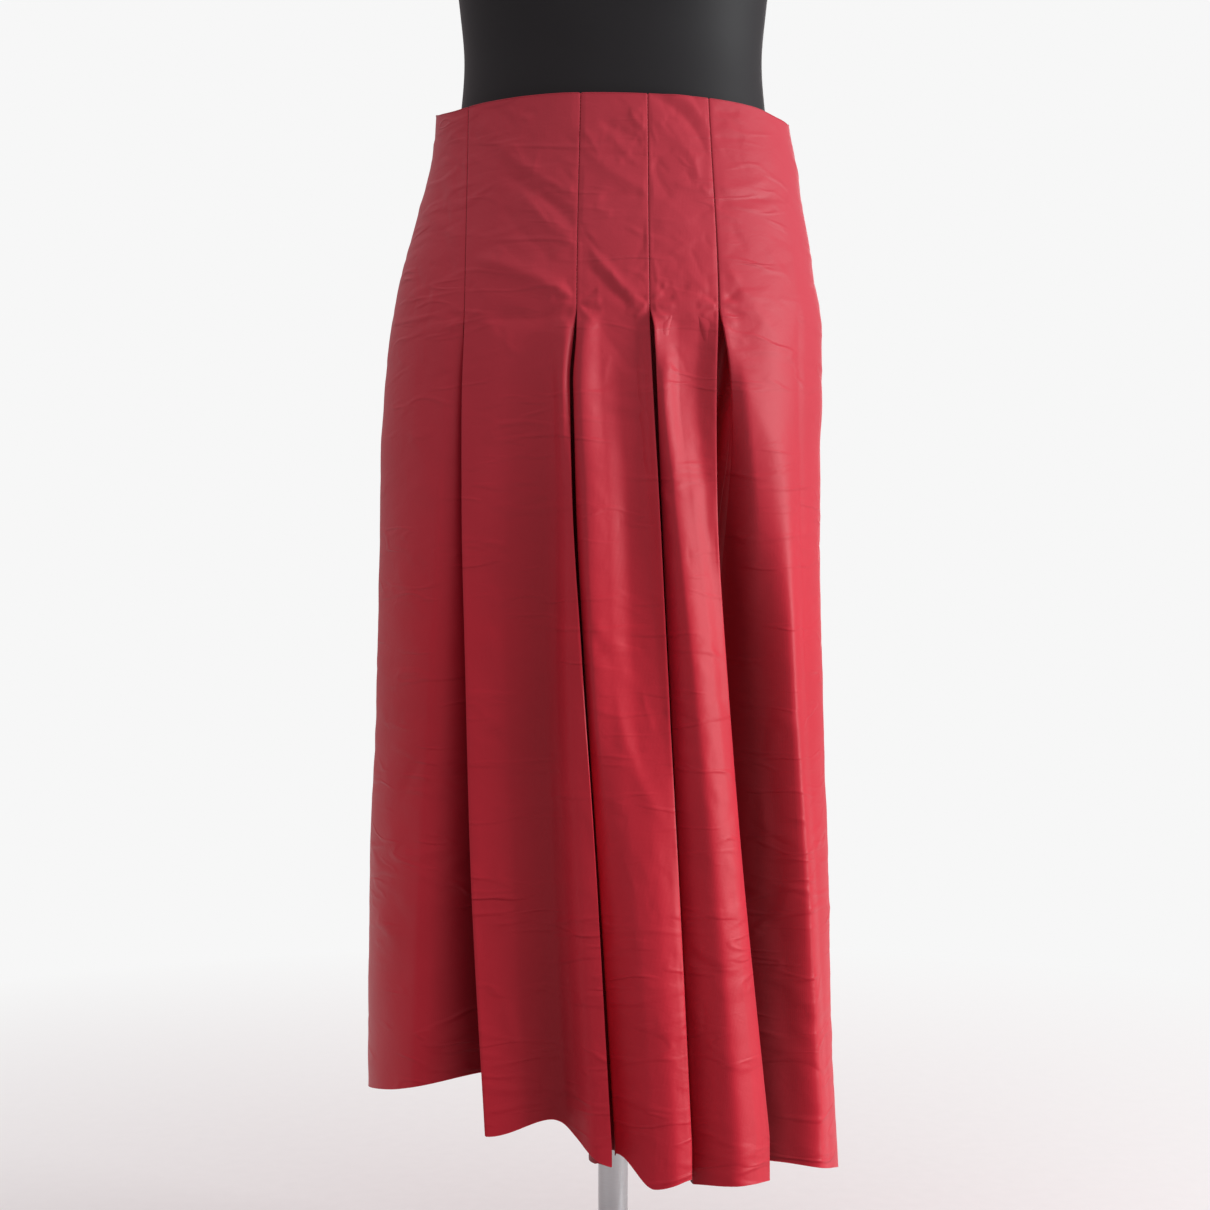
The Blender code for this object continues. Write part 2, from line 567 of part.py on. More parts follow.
def make_zip(collection, cutters, tape_cloth, metal):
    """Tape behind the seam, slider at its top and the pull that swings on it."""
    inner = WALL + 2 * GAP
    rows = []
    offsets = np.linspace(-ZIP_TAPE_WIDTH / 2, ZIP_TAPE_WIDTH / 2, 7)
    tape_top = TOP_EDGE[0][1] - ZIP_TAPE_DROP
    tape_rows = [height for height in ROW_HEIGHTS if height > tape_top - ZIP_LENGTH]
    for height in tape_rows + [tape_top]:
        section = Section(height)
        arcs = np.where(offsets < 0, section.arc[-1] + offsets, section.arc[0] + offsets)
        x, y = section.place(arcs, np.full(len(arcs), inner))
        rows.append([(px, py, height) for px, py in zip(x, y)])
    add_wall(add_object("zip_tape", grid_mesh("zip_tape", rows), collection, tape_cloth), WALL)

    tilt, middle = back_slope(SLIDER_TOP - SLIDER_SIZE[2] / 2)
    lift = WALL / 2 + GAP + SLIDER_SIZE[1] / 2
    seat = bpy.data.objects.new("zip_seat", None)
    collection.objects.link(seat)
    seat.location = (0, middle, SLIDER_TOP - SLIDER_SIZE[2] / 2)
    seat.rotation_euler = (tilt, 0, 0)
    bar_y = lift + SLIDER_SIZE[1] / 2 + BAR_STAND_OFF
    cheek_y = lift + SLIDER_SIZE[1] / 2 + CHEEK_SIZE[1] / 2 - GAP
    slider = boxes_object("zip_slider", [(SLIDER_SIZE, (0, lift, 0))], collection, metal)
    slider.parent = seat
    for side in (-1, 1):
        cheek = boxes_object("cheek_tool", [(CHEEK_SIZE, (side * CHEEK_PLACE, cheek_y, 0))],
                             cutters, metal)
        cheek.parent = seat
        join(slider, cheek, "UNION")
    bar = rod_across("bar_tool", BAR_RADIUS, 2 * CHEEK_PLACE, 12, cutters, metal)
    bar.parent = seat
    bar.location = (0, bar_y, 0)
    join(slider, bar, "UNION")

    eye = rod_across("zip_pull", PULL_EYE_RADIUS, PULL_NECK_WIDTH, 20, collection, metal)
    eye.parent = seat
    eye.location = (0, bar_y, 0)
    plate = bpy.data.meshes.new("pull_plate")
    shape = bmesh.new()
    outline = pull_outline()
    low = [shape.verts.new((x, -PULL_THICKNESS / 2, z)) for x, z in outline]
    high = [shape.verts.new((x, PULL_THICKNESS / 2, z)) for x, z in outline]
    shape.faces.new(low)
    shape.faces.new(high[::-1])
    for i in range(len(outline)):
        j = (i + 1) % len(outline)
        shape.faces.new((low[j], low[i], high[i], high[j]))
    bmesh.ops.recalc_face_normals(shape, faces=shape.faces)
    shape.to_mesh(plate)
    shape.free()
    blade = add_object("plate_tool", plate, cutters, metal)
    blade.parent = seat
    blade.location = (0, bar_y, 0)
    join(eye, blade, "UNION")
    hole = rod_across("hole_tool", PULL_HOLE_RADIUS, 3 * PULL_NECK_WIDTH, 16, cutters, metal)
    hole.parent = seat
    hole.location = (0, bar_y, 0)
    join(eye, hole, "DIFFERENCE")


def back_slope(height):
    """The lean of the last row of the centre back, and its place at a height."""
    low, high = ROW_HEIGHTS[-1], TOP_EDGE[0][1]
    below, above = Section(low).y[0], Section(high).y[0]
    share = (height - low) / (high - low)
    return math.atan2(below - above, high - low), below + (above - below) * share


def pull_outline():
    """Outline of the pull's plate, hanging from its eye, widest near its round end."""
    end_radius = PULL_WIDTH / 2
    steps = 8
    points = [(-PULL_NECK_WIDTH / 2, -PULL_ROOT), (-PULL_NECK_WIDTH / 2, -PULL_SHOULDER)]
    for step in range(steps + 1):
        angle = math.pi * step / steps
        points.append((-end_radius * math.cos(angle),
                       -PULL_LENGTH + end_radius * (1 - math.sin(angle))))
    return points + [(PULL_NECK_WIDTH / 2, -PULL_SHOULDER), (PULL_NECK_WIDTH / 2, -PULL_ROOT)]


def main():
    for thing in list(bpy.data.objects):
        bpy.data.objects.remove(thing)
    collection = bpy.data.collections.new("midi_skirt_on_form")
    cutters = bpy.data.collections.new("cutters")
    for made in (collection, cutters):
        bpy.context.scene.collection.children.link(made)

    red = material("red_cotton", (0.60, 0.06, 0.10), 0.6)
    black = material("black_jersey", (0.02, 0.02, 0.024), 0.55)
    steel = material("brushed_steel", (0.55, 0.55, 0.56), 0.35, 1.0)
    red_metal = material("red_lacquer", (0.50, 0.05, 0.09), 0.35)
    tape = material("red_tape", (0.50, 0.05, 0.09), 0.7)

    for name, first, last, heights in GORES:
        make_gore(name, first, last, heights, collection, red)

    form = grid_mesh("form_torso", [form_row(*row) for row in FORM_SECTIONS],
                     closed=True, capped=True)
    add_object("form_torso", form, collection, black, 35)

    cap_low = NECK_TOP + GAP
    cap_high = cap_low + NECK_CAP_HEIGHT
    turned("neck_cap", [(0, cap_high),
                        (NECK_CAP_RADIUS - 2 * NECK_CAP_EDGE, cap_high - NECK_CAP_DOME),
                        (NECK_CAP_RADIUS, cap_high - NECK_CAP_EDGE),
                        (NECK_CAP_RADIUS, cap_low), (0, cap_low)], collection, steel)
    pole_top = FORM_BOTTOM - GAP
    turned("pole", [(0, pole_top), (COLLAR_RADIUS, pole_top),
                    (COLLAR_RADIUS, pole_top - COLLAR_HEIGHT),
                    (POLE_RADIUS, pole_top - COLLAR_HEIGHT), (POLE_RADIUS, BOSS_HEIGHT + GAP),
                    (0, BOSS_HEIGHT + GAP)], collection, steel)
    turned("base", [(0, BOSS_HEIGHT), (BOSS_RADIUS - BOSS_EDGE, BOSS_HEIGHT),
                    (BOSS_RADIUS, BOSS_HEIGHT - BOSS_EDGE), (BOSS_RADIUS, BASE_THICKNESS),
                    (BASE_RADIUS - BASE_EDGE, BASE_THICKNESS),
                    (BASE_RADIUS, BASE_THICKNESS - BASE_EDGE), (BASE_RADIUS, 0), (0, 0)],
           collection, steel)
    make_zip(collection, cutters, tape, red_metal)


main()
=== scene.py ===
"""Looks of the midi skirt and the dress form it stands on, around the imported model.

Metres, +Z up, -Y the front of the skirt, +X the wearer's left.
"""
import math

import bpy
import numpy as np
from mathutils import Matrix, Vector


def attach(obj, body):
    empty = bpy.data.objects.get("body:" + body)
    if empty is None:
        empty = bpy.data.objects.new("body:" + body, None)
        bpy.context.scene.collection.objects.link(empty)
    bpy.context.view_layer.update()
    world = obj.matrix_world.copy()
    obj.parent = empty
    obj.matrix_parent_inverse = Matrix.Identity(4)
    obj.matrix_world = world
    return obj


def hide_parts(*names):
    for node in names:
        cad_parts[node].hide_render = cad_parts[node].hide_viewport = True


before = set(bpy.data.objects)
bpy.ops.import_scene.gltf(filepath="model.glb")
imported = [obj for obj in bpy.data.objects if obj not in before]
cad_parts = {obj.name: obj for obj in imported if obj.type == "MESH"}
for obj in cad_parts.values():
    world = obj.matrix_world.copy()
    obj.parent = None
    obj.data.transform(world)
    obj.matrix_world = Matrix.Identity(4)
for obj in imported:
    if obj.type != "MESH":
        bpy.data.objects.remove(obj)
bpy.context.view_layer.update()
skirt_body = "skirt_on_stand"
pull_body = "pull_tab"

# ---------------------------------------------------------------------------------------
# Studio. The camera stands level with the middle of the skirt, straight in front and
# 1.55 m from the pole, as the photo was taken. One broad soft light stands to the right.
# ---------------------------------------------------------------------------------------
mm = 0.001
frame_side = 1210               # pixels
pixel_size = 0.845 * mm         # at the pole's distance
pole_offset = 8                 # pixels, from the middle of the frame to the pole
camera_distance = 1.55
camera_height = 0.62
sensor_width = 36.0

camera_data = bpy.data.cameras.new("camera")
camera_data.sensor_width = sensor_width
camera_data.lens = camera_distance / pixel_size / frame_side * sensor_width
camera = bpy.data.objects.new("camera", camera_data)
bpy.context.scene.collection.objects.link(camera)
camera.location = (-pole_offset * pixel_size, -camera_distance, camera_height)
camera.rotation_euler = (math.pi / 2, 0, 0)
bpy.context.scene.camera = camera
bpy.context.scene.view_settings.view_transform = "Standard"


def add_light(name, place, target, size, power, colour):
    lamp = bpy.data.lights.new(name, "AREA")
    lamp.shape = "RECTANGLE"
    lamp.size, lamp.size_y = size
    lamp.energy = power
    lamp.color = colour
    thing = bpy.data.objects.new(name, lamp)
    bpy.context.scene.collection.objects.link(thing)
    thing.location = place
    thing.rotation_euler = (Vector(target) - Vector(place)).to_track_quat("-Z", "Y").to_euler()


add_light("window_right", (2.5, -0.65, 0.95), (0, 0, 0.62), (0.9, 1.9), 63, (0.97, 1, 1))
add_light("room_behind", (0.5, 3.2, 1.5), (0, 0, 0.7), (1.6, 2.0), 34, (1, 0.98, 0.96))

world = bpy.data.worlds.new("studio")
bpy.context.scene.world = world
world.use_nodes = True
room = world.node_tree.nodes["Background"]
room.inputs["Color"].default_value = (1, 0.88, 0.9, 1)
facing = world.node_tree.nodes.new("ShaderNodeTexCoord")
upward = world.node_tree.nodes.new("ShaderNodeSeparateXYZ")
height_fade = world.node_tree.nodes.new("ShaderNodeMapRange")       # brighter overhead
for socket, value in (("From Min", -1.0), ("From Max", 1.0), ("To Min", 0.04), ("To Max", 0.76)):
    height_fade.inputs[socket].default_value = value
backdrop = world.node_tree.nodes.new("ShaderNodeBackground")
backdrop.inputs["Color"].default_value = (0.93, 0.93, 0.93, 1)
seen = world.node_tree.nodes.new("ShaderNodeLightPath")
either = world.node_tree.nodes.new("ShaderNodeMixShader")
links = world.node_tree.links
links.new(facing.outputs["Generated"], upward.inputs[0])
links.new(upward.outputs["Z"], height_fade.inputs["Value"])
links.new(height_fade.outputs["Result"], room.inputs["Strength"])
links.new(seen.outputs["Is Camera Ray"], either.inputs[0])
links.new(room.outputs[0], either.inputs[1])
links.new(backdrop.outputs[0], either.inputs[2])
links.new(either.outputs[0], world.node_tree.nodes["World Output"].inputs["Surface"])


def new_material(name):
    """A material, its shader, and a function that adds a node with its inputs set."""
    made = bpy.data.materials.new(name)
    made.use_nodes = True
    nodes, links = made.node_tree.nodes, made.node_tree.links

    def fill(node, inputs):
        for key, value in inputs.items():
            socket = node.inputs[key.replace("_", " ")]
            if isinstance(value, bpy.types.NodeSocket):
                links.new(value, socket)
            else:
                socket.default_value = value

    def add(kind, settings=None, **inputs):
        node = nodes.new("ShaderNode" + kind)
        for key, value in (settings or {}).items():
            setattr(node, key, value)
        fill(node, inputs)
        return node

    def set_shader(**inputs):
        fill(nodes["Principled BSDF"], inputs)

    return made, set_shader, add


def two_tone(add, fac, dark, light, low=0, high=1):
    """A colour that goes from dark to light as the factor goes from low to high."""
    ramp = add("ValToRGB", Fac=fac)
    for element, colour, place in zip(ramp.color_ramp.elements, (dark, light), (low, high)):
        element.color = (*colour, 1)
        element.position = place
    return ramp.outputs["Color"]


floor_radius = 4.0
bpy.ops.object.select_all(action="DESELECT")
bpy.ops.mesh.primitive_circle_add(vertices=96, radius=floor_radius, fill_type="NGON")
floor = bpy.context.active_object
floor.name = "floor"
floor.visible_diffuse = False           # so that it casts no red or white back on the cloth
paint, set_shader, add = new_material("floor_paint")
place = add("TexCoord").outputs["Object"]
speckle = add("TexNoise", Vector=place, Scale=60.0)
tint = two_tone(add, speckle.outputs["Fac"], (0.80, 0.80, 0.80), (0.84, 0.84, 0.84))
away = add("VectorMath", {"operation": "LENGTH"}, Vector=place)
fade = add("MapRange", Value=away.outputs["Value"], From_Min=0.3, From_Max=1.8)
set_shader(Base_Color=tint, Roughness=0.9, Specular_IOR_Level=0.0)
shader = paint.node_tree.nodes["Principled BSDF"]
glow = add("Emission", Color=(0.93, 0.93, 0.93, 1))
blend = add("MixShader", Fac=fade.outputs["Result"])
paint.node_tree.links.new(shader.outputs[0], blend.inputs[1])
paint.node_tree.links.new(glow.outputs[0], blend.inputs[2])
paint.node_tree.links.new(blend.outputs[0], paint.node_tree.nodes["Material Output"].inputs[0])
floor.data.materials.append(paint)

# ---------------------------------------------------------------------------------------
# Skirt. Eleven gores of fine red cotton, joined by seams hidden at the bottoms of the
# pleats. Each pleat is stitched flat from the waist to the hip and opens below it.
# ---------------------------------------------------------------------------------------
wall = 1.0 * mm
gap = 0.3 * mm
seam_gap = 0.05 * mm            # the sewn edges close up, so that no light comes through
layer_pitch = 1.8 * mm          # from layer to layer of a pleat that is stitched flat
underlap = 20.0 * mm            # cloth folded back on each side of a stitched pleat
open_reach = 11.0 * mm          # half the width of the bottom of an open pleat
opening_depth = 30.0 * mm       # growth of a pleat's depth over which it opens
tuck = 0.2                      # how near a pressed fold's inner layer lies behind the gore
edge_inset = 0.45 * mm
section_power = 2.25
section_points = 721
#   height   left    right   front   back     half width of each side and half depths
sections = np.array((
    (0.120, 0.2035, 0.1900, 0.1560, 0.1580),
    (0.286, 0.2045, 0.1825, 0.1540, 0.1550),
    (0.413, 0.2030, 0.1800, 0.1500, 0.1510),
    (0.540, 0.1985, 0.1760, 0.1450, 0.1470),
    (0.683, 0.1960, 0.1735, 0.1380, 0.1440),
    (0.743, 0.1950, 0.1735, 0.1350, 0.1430),
    (0.793, 0.1920, 0.1750, 0.1320, 0.1430),
    (0.844, 0.1869, 0.1750, 0.1285, 0.1420),
    (0.895, 0.1780, 0.1684, 0.1210, 0.1370),
    (0.945, 0.1638, 0.1602, 0.1120, 0.1240),
    (0.996, 0.1518, 0.1522, 0.1040, 0.1100),
    (1.026, 0.1486, 0.1470, 0.1000, 0.1040),
    (1.045, 0.1478, 0.1450, 0.0990, 0.1030),
))
# Height of the top edge along the waist. -1 and 1 are the centre back, 0 the centre front.
top_edge = np.array((
    (-1.00, 1.0340), (-0.62, 1.0335), (-0.50, 1.0320), (-0.41, 1.0245), (-0.34, 1.0215),
    (-0.25, 1.0230), (-0.10, 1.0250), (0.00, 1.0247), (0.20, 1.0230), (0.30, 1.0213),
    (0.37, 1.0180), (0.42, 1.0182), (0.50, 1.0255), (0.66, 1.0320), (1.00, 1.0340),
))
waist_height = 1.0245
# Heights at which the pleats and folds are given, from the waist down to the hem.
# The first two are the ends of the stitching, between which the pleats lie flat.
fold_heights = (1.025, 0.854, 0.834, 0.790, 0.700, 0.580, 0.420, 0.205)
flat = 2 * layer_pitch / mm
# Pleats in millimetres, with a column for each of the fold_heights. "first" is the edge of
# the gore before the pleat, going round from the centre back over the left side and the
# front, and "second" that of the gore after it. Offsets run that way round, from the line.
# Soft is 0 for a pressed edge and 1 for one that rounds away.
pleats = {
    "front_1": {
        "line":          (-117.0, -117.5, -118.0, -118.5, -118.0, -114.5, -109.5, -97.0),
        "first_offset":  (0, 0, -1, -2, -3, -4, -4, -6),
        "first_in":      (0, 0, 2, 8, 18, 29, 40, 52),
        "first_soft":    (0, 0, 0.1, 0.3, 0.8, 1, 1, 1),
        "second_offset": (0, 0, 0, -1, -2, -3, -3, -4),
        "second_in":     (0, 0, 0, 0, 1, 2, 2, 4),
        "second_soft":   (0, 0, 0, 0, 0, 0, 0, 0),
        "bottom_offset": (0, 0, 0, 1, 2, 4, 7, 9),
        "depth":         (flat, flat, 10, 18, 32, 45, 56, 66),
    },
    "front_2": {
        "line":          (-26.0, -28.7, -28.5, -27.5, -25.5, -21.0, -11.5, 0.5),
        "first_offset":  (0, 0, -2, -6.5, -6, -3, -1.5, -1),
        "first_in":      (0, 0, -1, -1, -4, -3, -2, 0),
        "first_soft":    (0, 0, 0, 0, 0.1, 0.3, 0.6, 0.8),
        "second_offset": (0, 0, -0.5, -4.5, -4.5, -3, -1.5, 0),
        "second_in":     (0, 0, -2, -1, 1, 4, 9, 18),
        "second_soft":   (0, 0, 0.1, 0.4, 0.6, 0.8, 0.8, 0.8),
        "bottom_offset": (0, 0, 0, 0, 1, -2, -4.5, -10),
        "depth":         (flat, flat, 18, 24, 34, 40, 46, 54),
    },
    "front_3": {
        "line":          (27.0, 28.0, 29.0, 31.0, 35.5, 41.5, 50.5, 63.0),
        "first_offset":  (0, 0, -0.5, -0.5, -0.5, -0.5, -0.5, -1),
        "first_in":      (0, 0, 1, 0, -2, -1, 2, 6),
        "first_soft":    (0, 0, 0, 0, 0, 0, 0.1, 0.5),
        "second_offset": (0, 0, 2, 2, 1.5, 1.5, 1.5, 2),
        "second_in":     (0, 0, -4, -1, 5, 9, 13, 20),
        "second_soft":   (0, 0, 0, 0.2, 0.5, 0.7, 0.9, 1),
        "bottom_offset": (0, 0, 0, -1, -2, -2, -2, -3),
        "depth":         (flat, flat, 18, 24, 34, 42, 48, 60),
    },
    "front_4": {
        "line":          (75.6, 82.0, 81.0, 80.2, 82.0, 90.0, 103.0, 127.0),
        "first_offset":  (0, 0, 0, 0, 0, 0, 0, 0),
        "first_in":      (0, 0, -2, -1, 3, 6, 6, 8),
        "first_soft":    (0, 0, 0, 0, 0, 0, 0.1, 0.4),
        "second_offset": (0, 1, 5, 15, 23, 25, 25, 18),
        "second_in":     (0, 0, -2, 5, 25, 47, 46, 40),
        "second_soft":   (0, 0, 0, 0, 0.5, 1, 1, 1),
        "bottom_offset": (0, 0, 2, 5, -2, -9, -14, -16),
        "depth":         (flat, flat, 17, 28, 50, 60, 66, 66),
    },
}


def hidden_pleat(waist, hip, hem, deepest, swing):
    """A pleat of the back, opening as those of the front do."""
    drop = (0, 0, 0.03, 0.10, 0.26, 0.48, 0.74, 1.0)      # of the hem's opening
    first_share, second_share, early = 0.12, 0.55, 0.8
    below_hip = tuple(hip + (hem - hip) * fall for fall in drop[1:])
    return {
        "line":          (waist,) + below_hip,
        "first_offset":  tuple(-swing * fall for fall in drop),
        "first_in":      tuple(first_share * deepest * fall for fall in drop),
        "first_soft":    (0, 0, 0, 0.1, 0.3, 0.5, 0.8, 1),
        "second_offset": tuple(swing * fall for fall in drop),
        "second_in":     tuple(second_share * deepest * fall for fall in drop),
        "second_soft":   (0, 0, 0, 0.2, 0.5, 0.8, 1, 1),
        "bottom_offset": (0,) * len(drop),
        "depth":         tuple(flat + (deepest - flat) * fall ** early for fall in drop),
    }


pleats["back_1"] = hidden_pleat(-33, -40, -48, 52, 3)
pleats["back_2"] = hidden_pleat(-84, -97, -122, 58, 4)
pleats["back_3"] = hidden_pleat(92, 104, 131, 50, 3)
pleats["back_4"] = hidden_pleat(39, 44, 62, 60, 4)

# Soft folds of each gore in millimetres, in the order of the gore's section: name, places
# across at the fold_heights, then depths inward from the outline.
folds = {
    "front_gore_1": (
        ("side swell", (-148, -180, -181, -183, -186, -186, -190, -192),
         (0, 0, 0, 0, 1, 1, 0, -1)),
        ("crest",      (-134, -136, -134, -133, -137, -143, -152, -161),
         (0, 0, -1, -1, -2, -2, -1, 0)),
        ("shoulder",   (-124, -125, -125, -126, -127, -127, -127, -121),
         (0, 0, 0, 1, 6, 15, 26, 38)),
    ),
    "front_gore_2": (
        ("left face",    (-100, -99, -98, -94, -92, -91, -86, -76), (0, 0, 0, 2, 6, 9, 10, 13)),
        ("valley",       (-72, -64, -62, -58, -56, -57, -52, -42), (0, 0, 1, 6, 13, 18, 20, 26)),
        ("valley right", (-60, -57, -55, -49, -47, -47, -41, -29), (0, 0, 1, 4, 10, 14, 14, 17)),
        ("tube",         (-46, -46, -36, -39, -37, -34, -26, -13), (0, 0, -4, -5, 0, 0, 0, 2)),
    ),
    "front_gore_3": (
        ("left wall",  (-13, -14, -22.5, -25, -20.5, -16, -1, 18), (0, 0, -4, -5, -5, -4, 4, 9)),
        ("slope",      (-6, -6, -10, -9, -4, -2, 16, 34), (0, 0, 0, 2, 0, -1, -1, 2)),
        ("trough",     (7, 8, 7, 6, 12, 16, 30, 46), (0, 0, 1.5, 5.5, 6, 4, -2, 0)),
        ("right wall", (17, 18, 19, 20, 25, 33, 43, 56), (0, 0, 2.5, 5, 4, 2, 0, 3)),
    ),
    "front_gore_4": (
        ("crest",  (38, 40, 40, 38.5, 47, 60, 77, 97), (0, 0, 0, -4, -5, -6, -5, -3)),
        ("slope",  (50, 52, 52, 52, 60, 74, 90, 108), (0, 0, 3.5, 3.5, -1, -2, -2, -1)),
        ("trough", (62, 66, 66, 65, 74, 83, 97, 117), (0, 0, 3, 6, 4, 3, 1.5, 3)),
    ),
    "front_gore_5": (
        ("ramp",      (94, 99, 101, 104, 117, 130, 142, 156), (0, 0, 0, 0, 6, 19, 20, 19)),
        ("crest",     (118, 124, 124, 126, 137, 141, 151, 166), (0, 0, -1, -1, -2, -3, -3, -1)),
        ("side fold", (134, 148, 148, 149, 152, 156, 164, 177), (0, 0, 0, 0, 1, 1, 1, 1)),
    ),
    "back_gore_1": (
        ("middle", (-16, -19, -19, -19, -20, -21, -22, -23), (0, 0, 0, 0, 2, 4, 4, 3)),
    ),
    "back_gore_2": (
        ("inner third", (-51, -58, -59, -60, -62, -66, -70, -72), (0, 0, 1, 2, 5, 9, 14, 20)),
        ("outer third", (-68, -78, -79, -80, -82, -88, -92, -96), (0, 0, 0, 0, 0, -1, -1, -1)),
    ),
    "back_gore_3": (
        ("inner face", (-101, -115, -116, -117, -120, -128, -138, -146),
         (0, 0, 0, 0, 0, 0, 0, 2)),
        ("outer face", (-133, -160, -163, -166, -168, -172, -176, -180),
         (0, 0, 0, 0, 2, 4, 6, 8)),
    ),
    "back_gore_4": (
        ("outer face", (128, 150, 152, 153, 154, 158, 162, 168), (0, 0, 0, 0, 2, 3, 4, 5)),
        ("inner face", (109, 122, 123, 124, 127, 134, 142, 150), (0, 0, 0, 0, 0, -1, -1, 0)),
    ),
    "back_gore_5": (
        ("outer third", (74, 86, 87, 88, 92, 98, 104, 112), (0, 0, 0, 0, 0, -1, -1, -1)),
        ("inner third", (57, 62, 64, 66, 70, 76, 84, 88), (0, 0, 0, 1, 3, 7, 12, 17)),
    ),
    "back_gore_6": (
        ("middle", (20, 22, 22, 22, 23, 24, 26, 28), (0, 0, 0, 0, 1, 3, 3, 2)),
    ),
}
# Gores in order round the skirt, each with the seams that bound it, and the height of the
# hem at its first seam, first edge, middle, last edge and last seam.
gores = (
    ("back_gore_1",  "centre_back", "back_1",     (0.181, 0.181, 0.183, 0.185, 0.189)),
    ("back_gore_2",  "back_1",      "back_2",     (0.189, 0.191, 0.194, 0.196, 0.200)),
    ("back_gore_3",  "back_2",      "side_right", (0.200, 0.203, 0.210, 0.216, 0.216)),
    ("front_gore_1", "side_right",  "front_1",    (0.216, 0.216, 0.2335, 0.251, 0.233)),
    ("front_gore_2", "front_1",     "front_2",    (0.233, 0.2105, 0.2215, 0.193, 0.188)),
    ("front_gore_3", "front_2",     "front_3",    (0.188, 0.198, 0.1745, 0.180, 0.166)),
    ("front_gore_4", "front_3",     "front_4",    (0.166, 0.172, 0.174, 0.171, 0.158)),
    ("front_gore_5", "front_4",     "side_left",  (0.158, 0.176, 0.163, 0.146, 0.146)),
    ("back_gore_4",  "side_left",   "back_3",     (0.146, 0.146, 0.150, 0.157, 0.161)),
    ("back_gore_5",  "back_3",      "back_4",     (0.161, 0.163, 0.167, 0.171, 0.175)),
    ("back_gore_6",  "back_4",      "centre_back", (0.175, 0.177, 0.179, 0.181, 0.181)),
)


def smooth(places, values, where):
    """Monotone cubic through the points, so that a fold never swings past its own depth."""
    places = np.asarray(places, float)
    values = np.asarray(values, float)
    where = np.clip(np.asarray(where, float), places[0], places[-1])
    steps = np.diff(places)
    slopes = np.diff(values) / steps
    tangents = np.zeros(len(places))
    tangents[0], tangents[-1] = slopes[0], slopes[-1]
    same_way = slopes[:-1] * slopes[1:] > 0
    before, after = slopes[:-1][same_way], slopes[1:][same_way]
    left, right = steps[:-1][same_way], steps[1:][same_way]
    weights = (2 * right + left, right + 2 * left)
    tangents[1:-1][same_way] = sum(weights) / (weights[0] / before + weights[1] / after)
    at = np.clip(np.searchsorted(places, where, "right") - 1, 0, len(steps) - 1)
    t = (where - places[at]) / steps[at]
    return (values[at] * (1 + 2 * t) * (1 - t) ** 2 + values[at + 1] * t * t * (3 - 2 * t)
            + steps[at] * t * (1 - t) * (tangents[at] * (1 - t) - tangents[at + 1] * t))


def at_height(row, height):
    """A row of a pleat or fold table, in metres, at a height."""
    return float(smooth(fold_heights[::-1], row[::-1], height)) * mm


class Outline:
    """The skirt's outline at one height, without folds, by arc length from the front."""

    def __init__(self, height):
        left, right, front, back = (
            float(smooth(sections[:, 0], sections[:, column], height)) for column in range(1, 5)
        )
        angle = np.linspace(-math.pi, math.pi, section_points)
        across, along = np.sin(angle), np.cos(angle)
        across[0] = across[-1] = 0
        self.x = np.where(across < 0, left, right) * np.sign(across)
        self.x *= np.abs(across) ** (2 / section_power)
        self.y = -np.where(along > 0, front, back) * np.sign(along)
        self.y *= np.abs(along) ** (2 / section_power)
        self.arc = np.concatenate(
            ([0], np.cumsum(np.hypot(np.diff(self.x), np.diff(self.y)))))
        self.side = section_points // 4
        self.arc -= self.arc[section_points // 2]
        slope_x, slope_y = np.gradient(self.x, self.arc), np.gradient(self.y, self.arc)
        length = np.hypot(slope_x, slope_y)
        self.inward_x, self.inward_y = -slope_y / length, slope_x / length

    def arc_at(self, x, back):
        """The arc place of a width x on the front or on the back."""
        if not back:
            reach = slice(self.side, section_points - self.side)
            return float(np.interp(x, self.x[reach], self.arc[reach]))
        reach = slice(0, self.side + 1) if x < 0 else slice(-self.side - 1, None)
        return float(np.interp(x, self.x[reach][::-1], self.arc[reach][::-1]))

    def seam(self, name):
        """The arc places just before and just after a plain seam."""
        if name == "centre_back":
            return self.arc[-1] - seam_gap / 2, self.arc[0] + seam_gap / 2
        middle = self.arc[self.side if name == "side_right" else -self.side - 1]
        return middle - seam_gap / 2, middle + seam_gap / 2

    def place(self, arc, inward):
        """Points in plan at arc places, moved inward."""
        x, y, inward_x, inward_y = (
            np.interp(arc, self.arc, values)
            for values in (self.x, self.y, self.inward_x, self.inward_y)
        )
        return x + inward * inward_x, y + inward * inward_y


def pleat_side(outline, pleat, side, height):
    """Corners of one gore's half of a pleat, from its seam to its edge, and their rounds."""
    row = {key: at_height(values, height) for key, values in pleats[pleat].items()}
    line = outline.arc_at(row["line"], pleat.startswith("back"))
    turn = -1 if side == "first" else 1
    edge = line + row[side + "_offset"] + turn * edge_inset
    inward, depth, soft = row[side + "_in"], row["depth"], row[side + "_soft"] / mm
    opened = min(1, max(0, depth - 2 * layer_pitch) / opening_depth)
    reach = underlap + (open_reach - underlap) * opened
    bottom = line + row["bottom_offset"]
    under = bottom + turn * reach
    tucked = tuck + (0.5 - tuck) * soft
    middle = inward + max(layer_pitch, tucked * (depth - inward))
    pressed = np.array((edge, inward + layer_pitch))
    rounded = np.array(((edge + under) / 2, (inward + middle) / 2))
    corners = [
        np.array((bottom + turn * seam_gap / 2, depth)),
        np.array((under, depth)),
        np.array((under, middle)),
        pressed + (rounded - pressed) * soft,
        np.array((edge, inward)),
    ]
    wide = layer_pitch / 2 + opened * 8 * mm
    tight = 0.55 * mm + opened * 0.35 * mm + soft * 6 * mm
    return corners, (0, wide, wide, tight, tight)


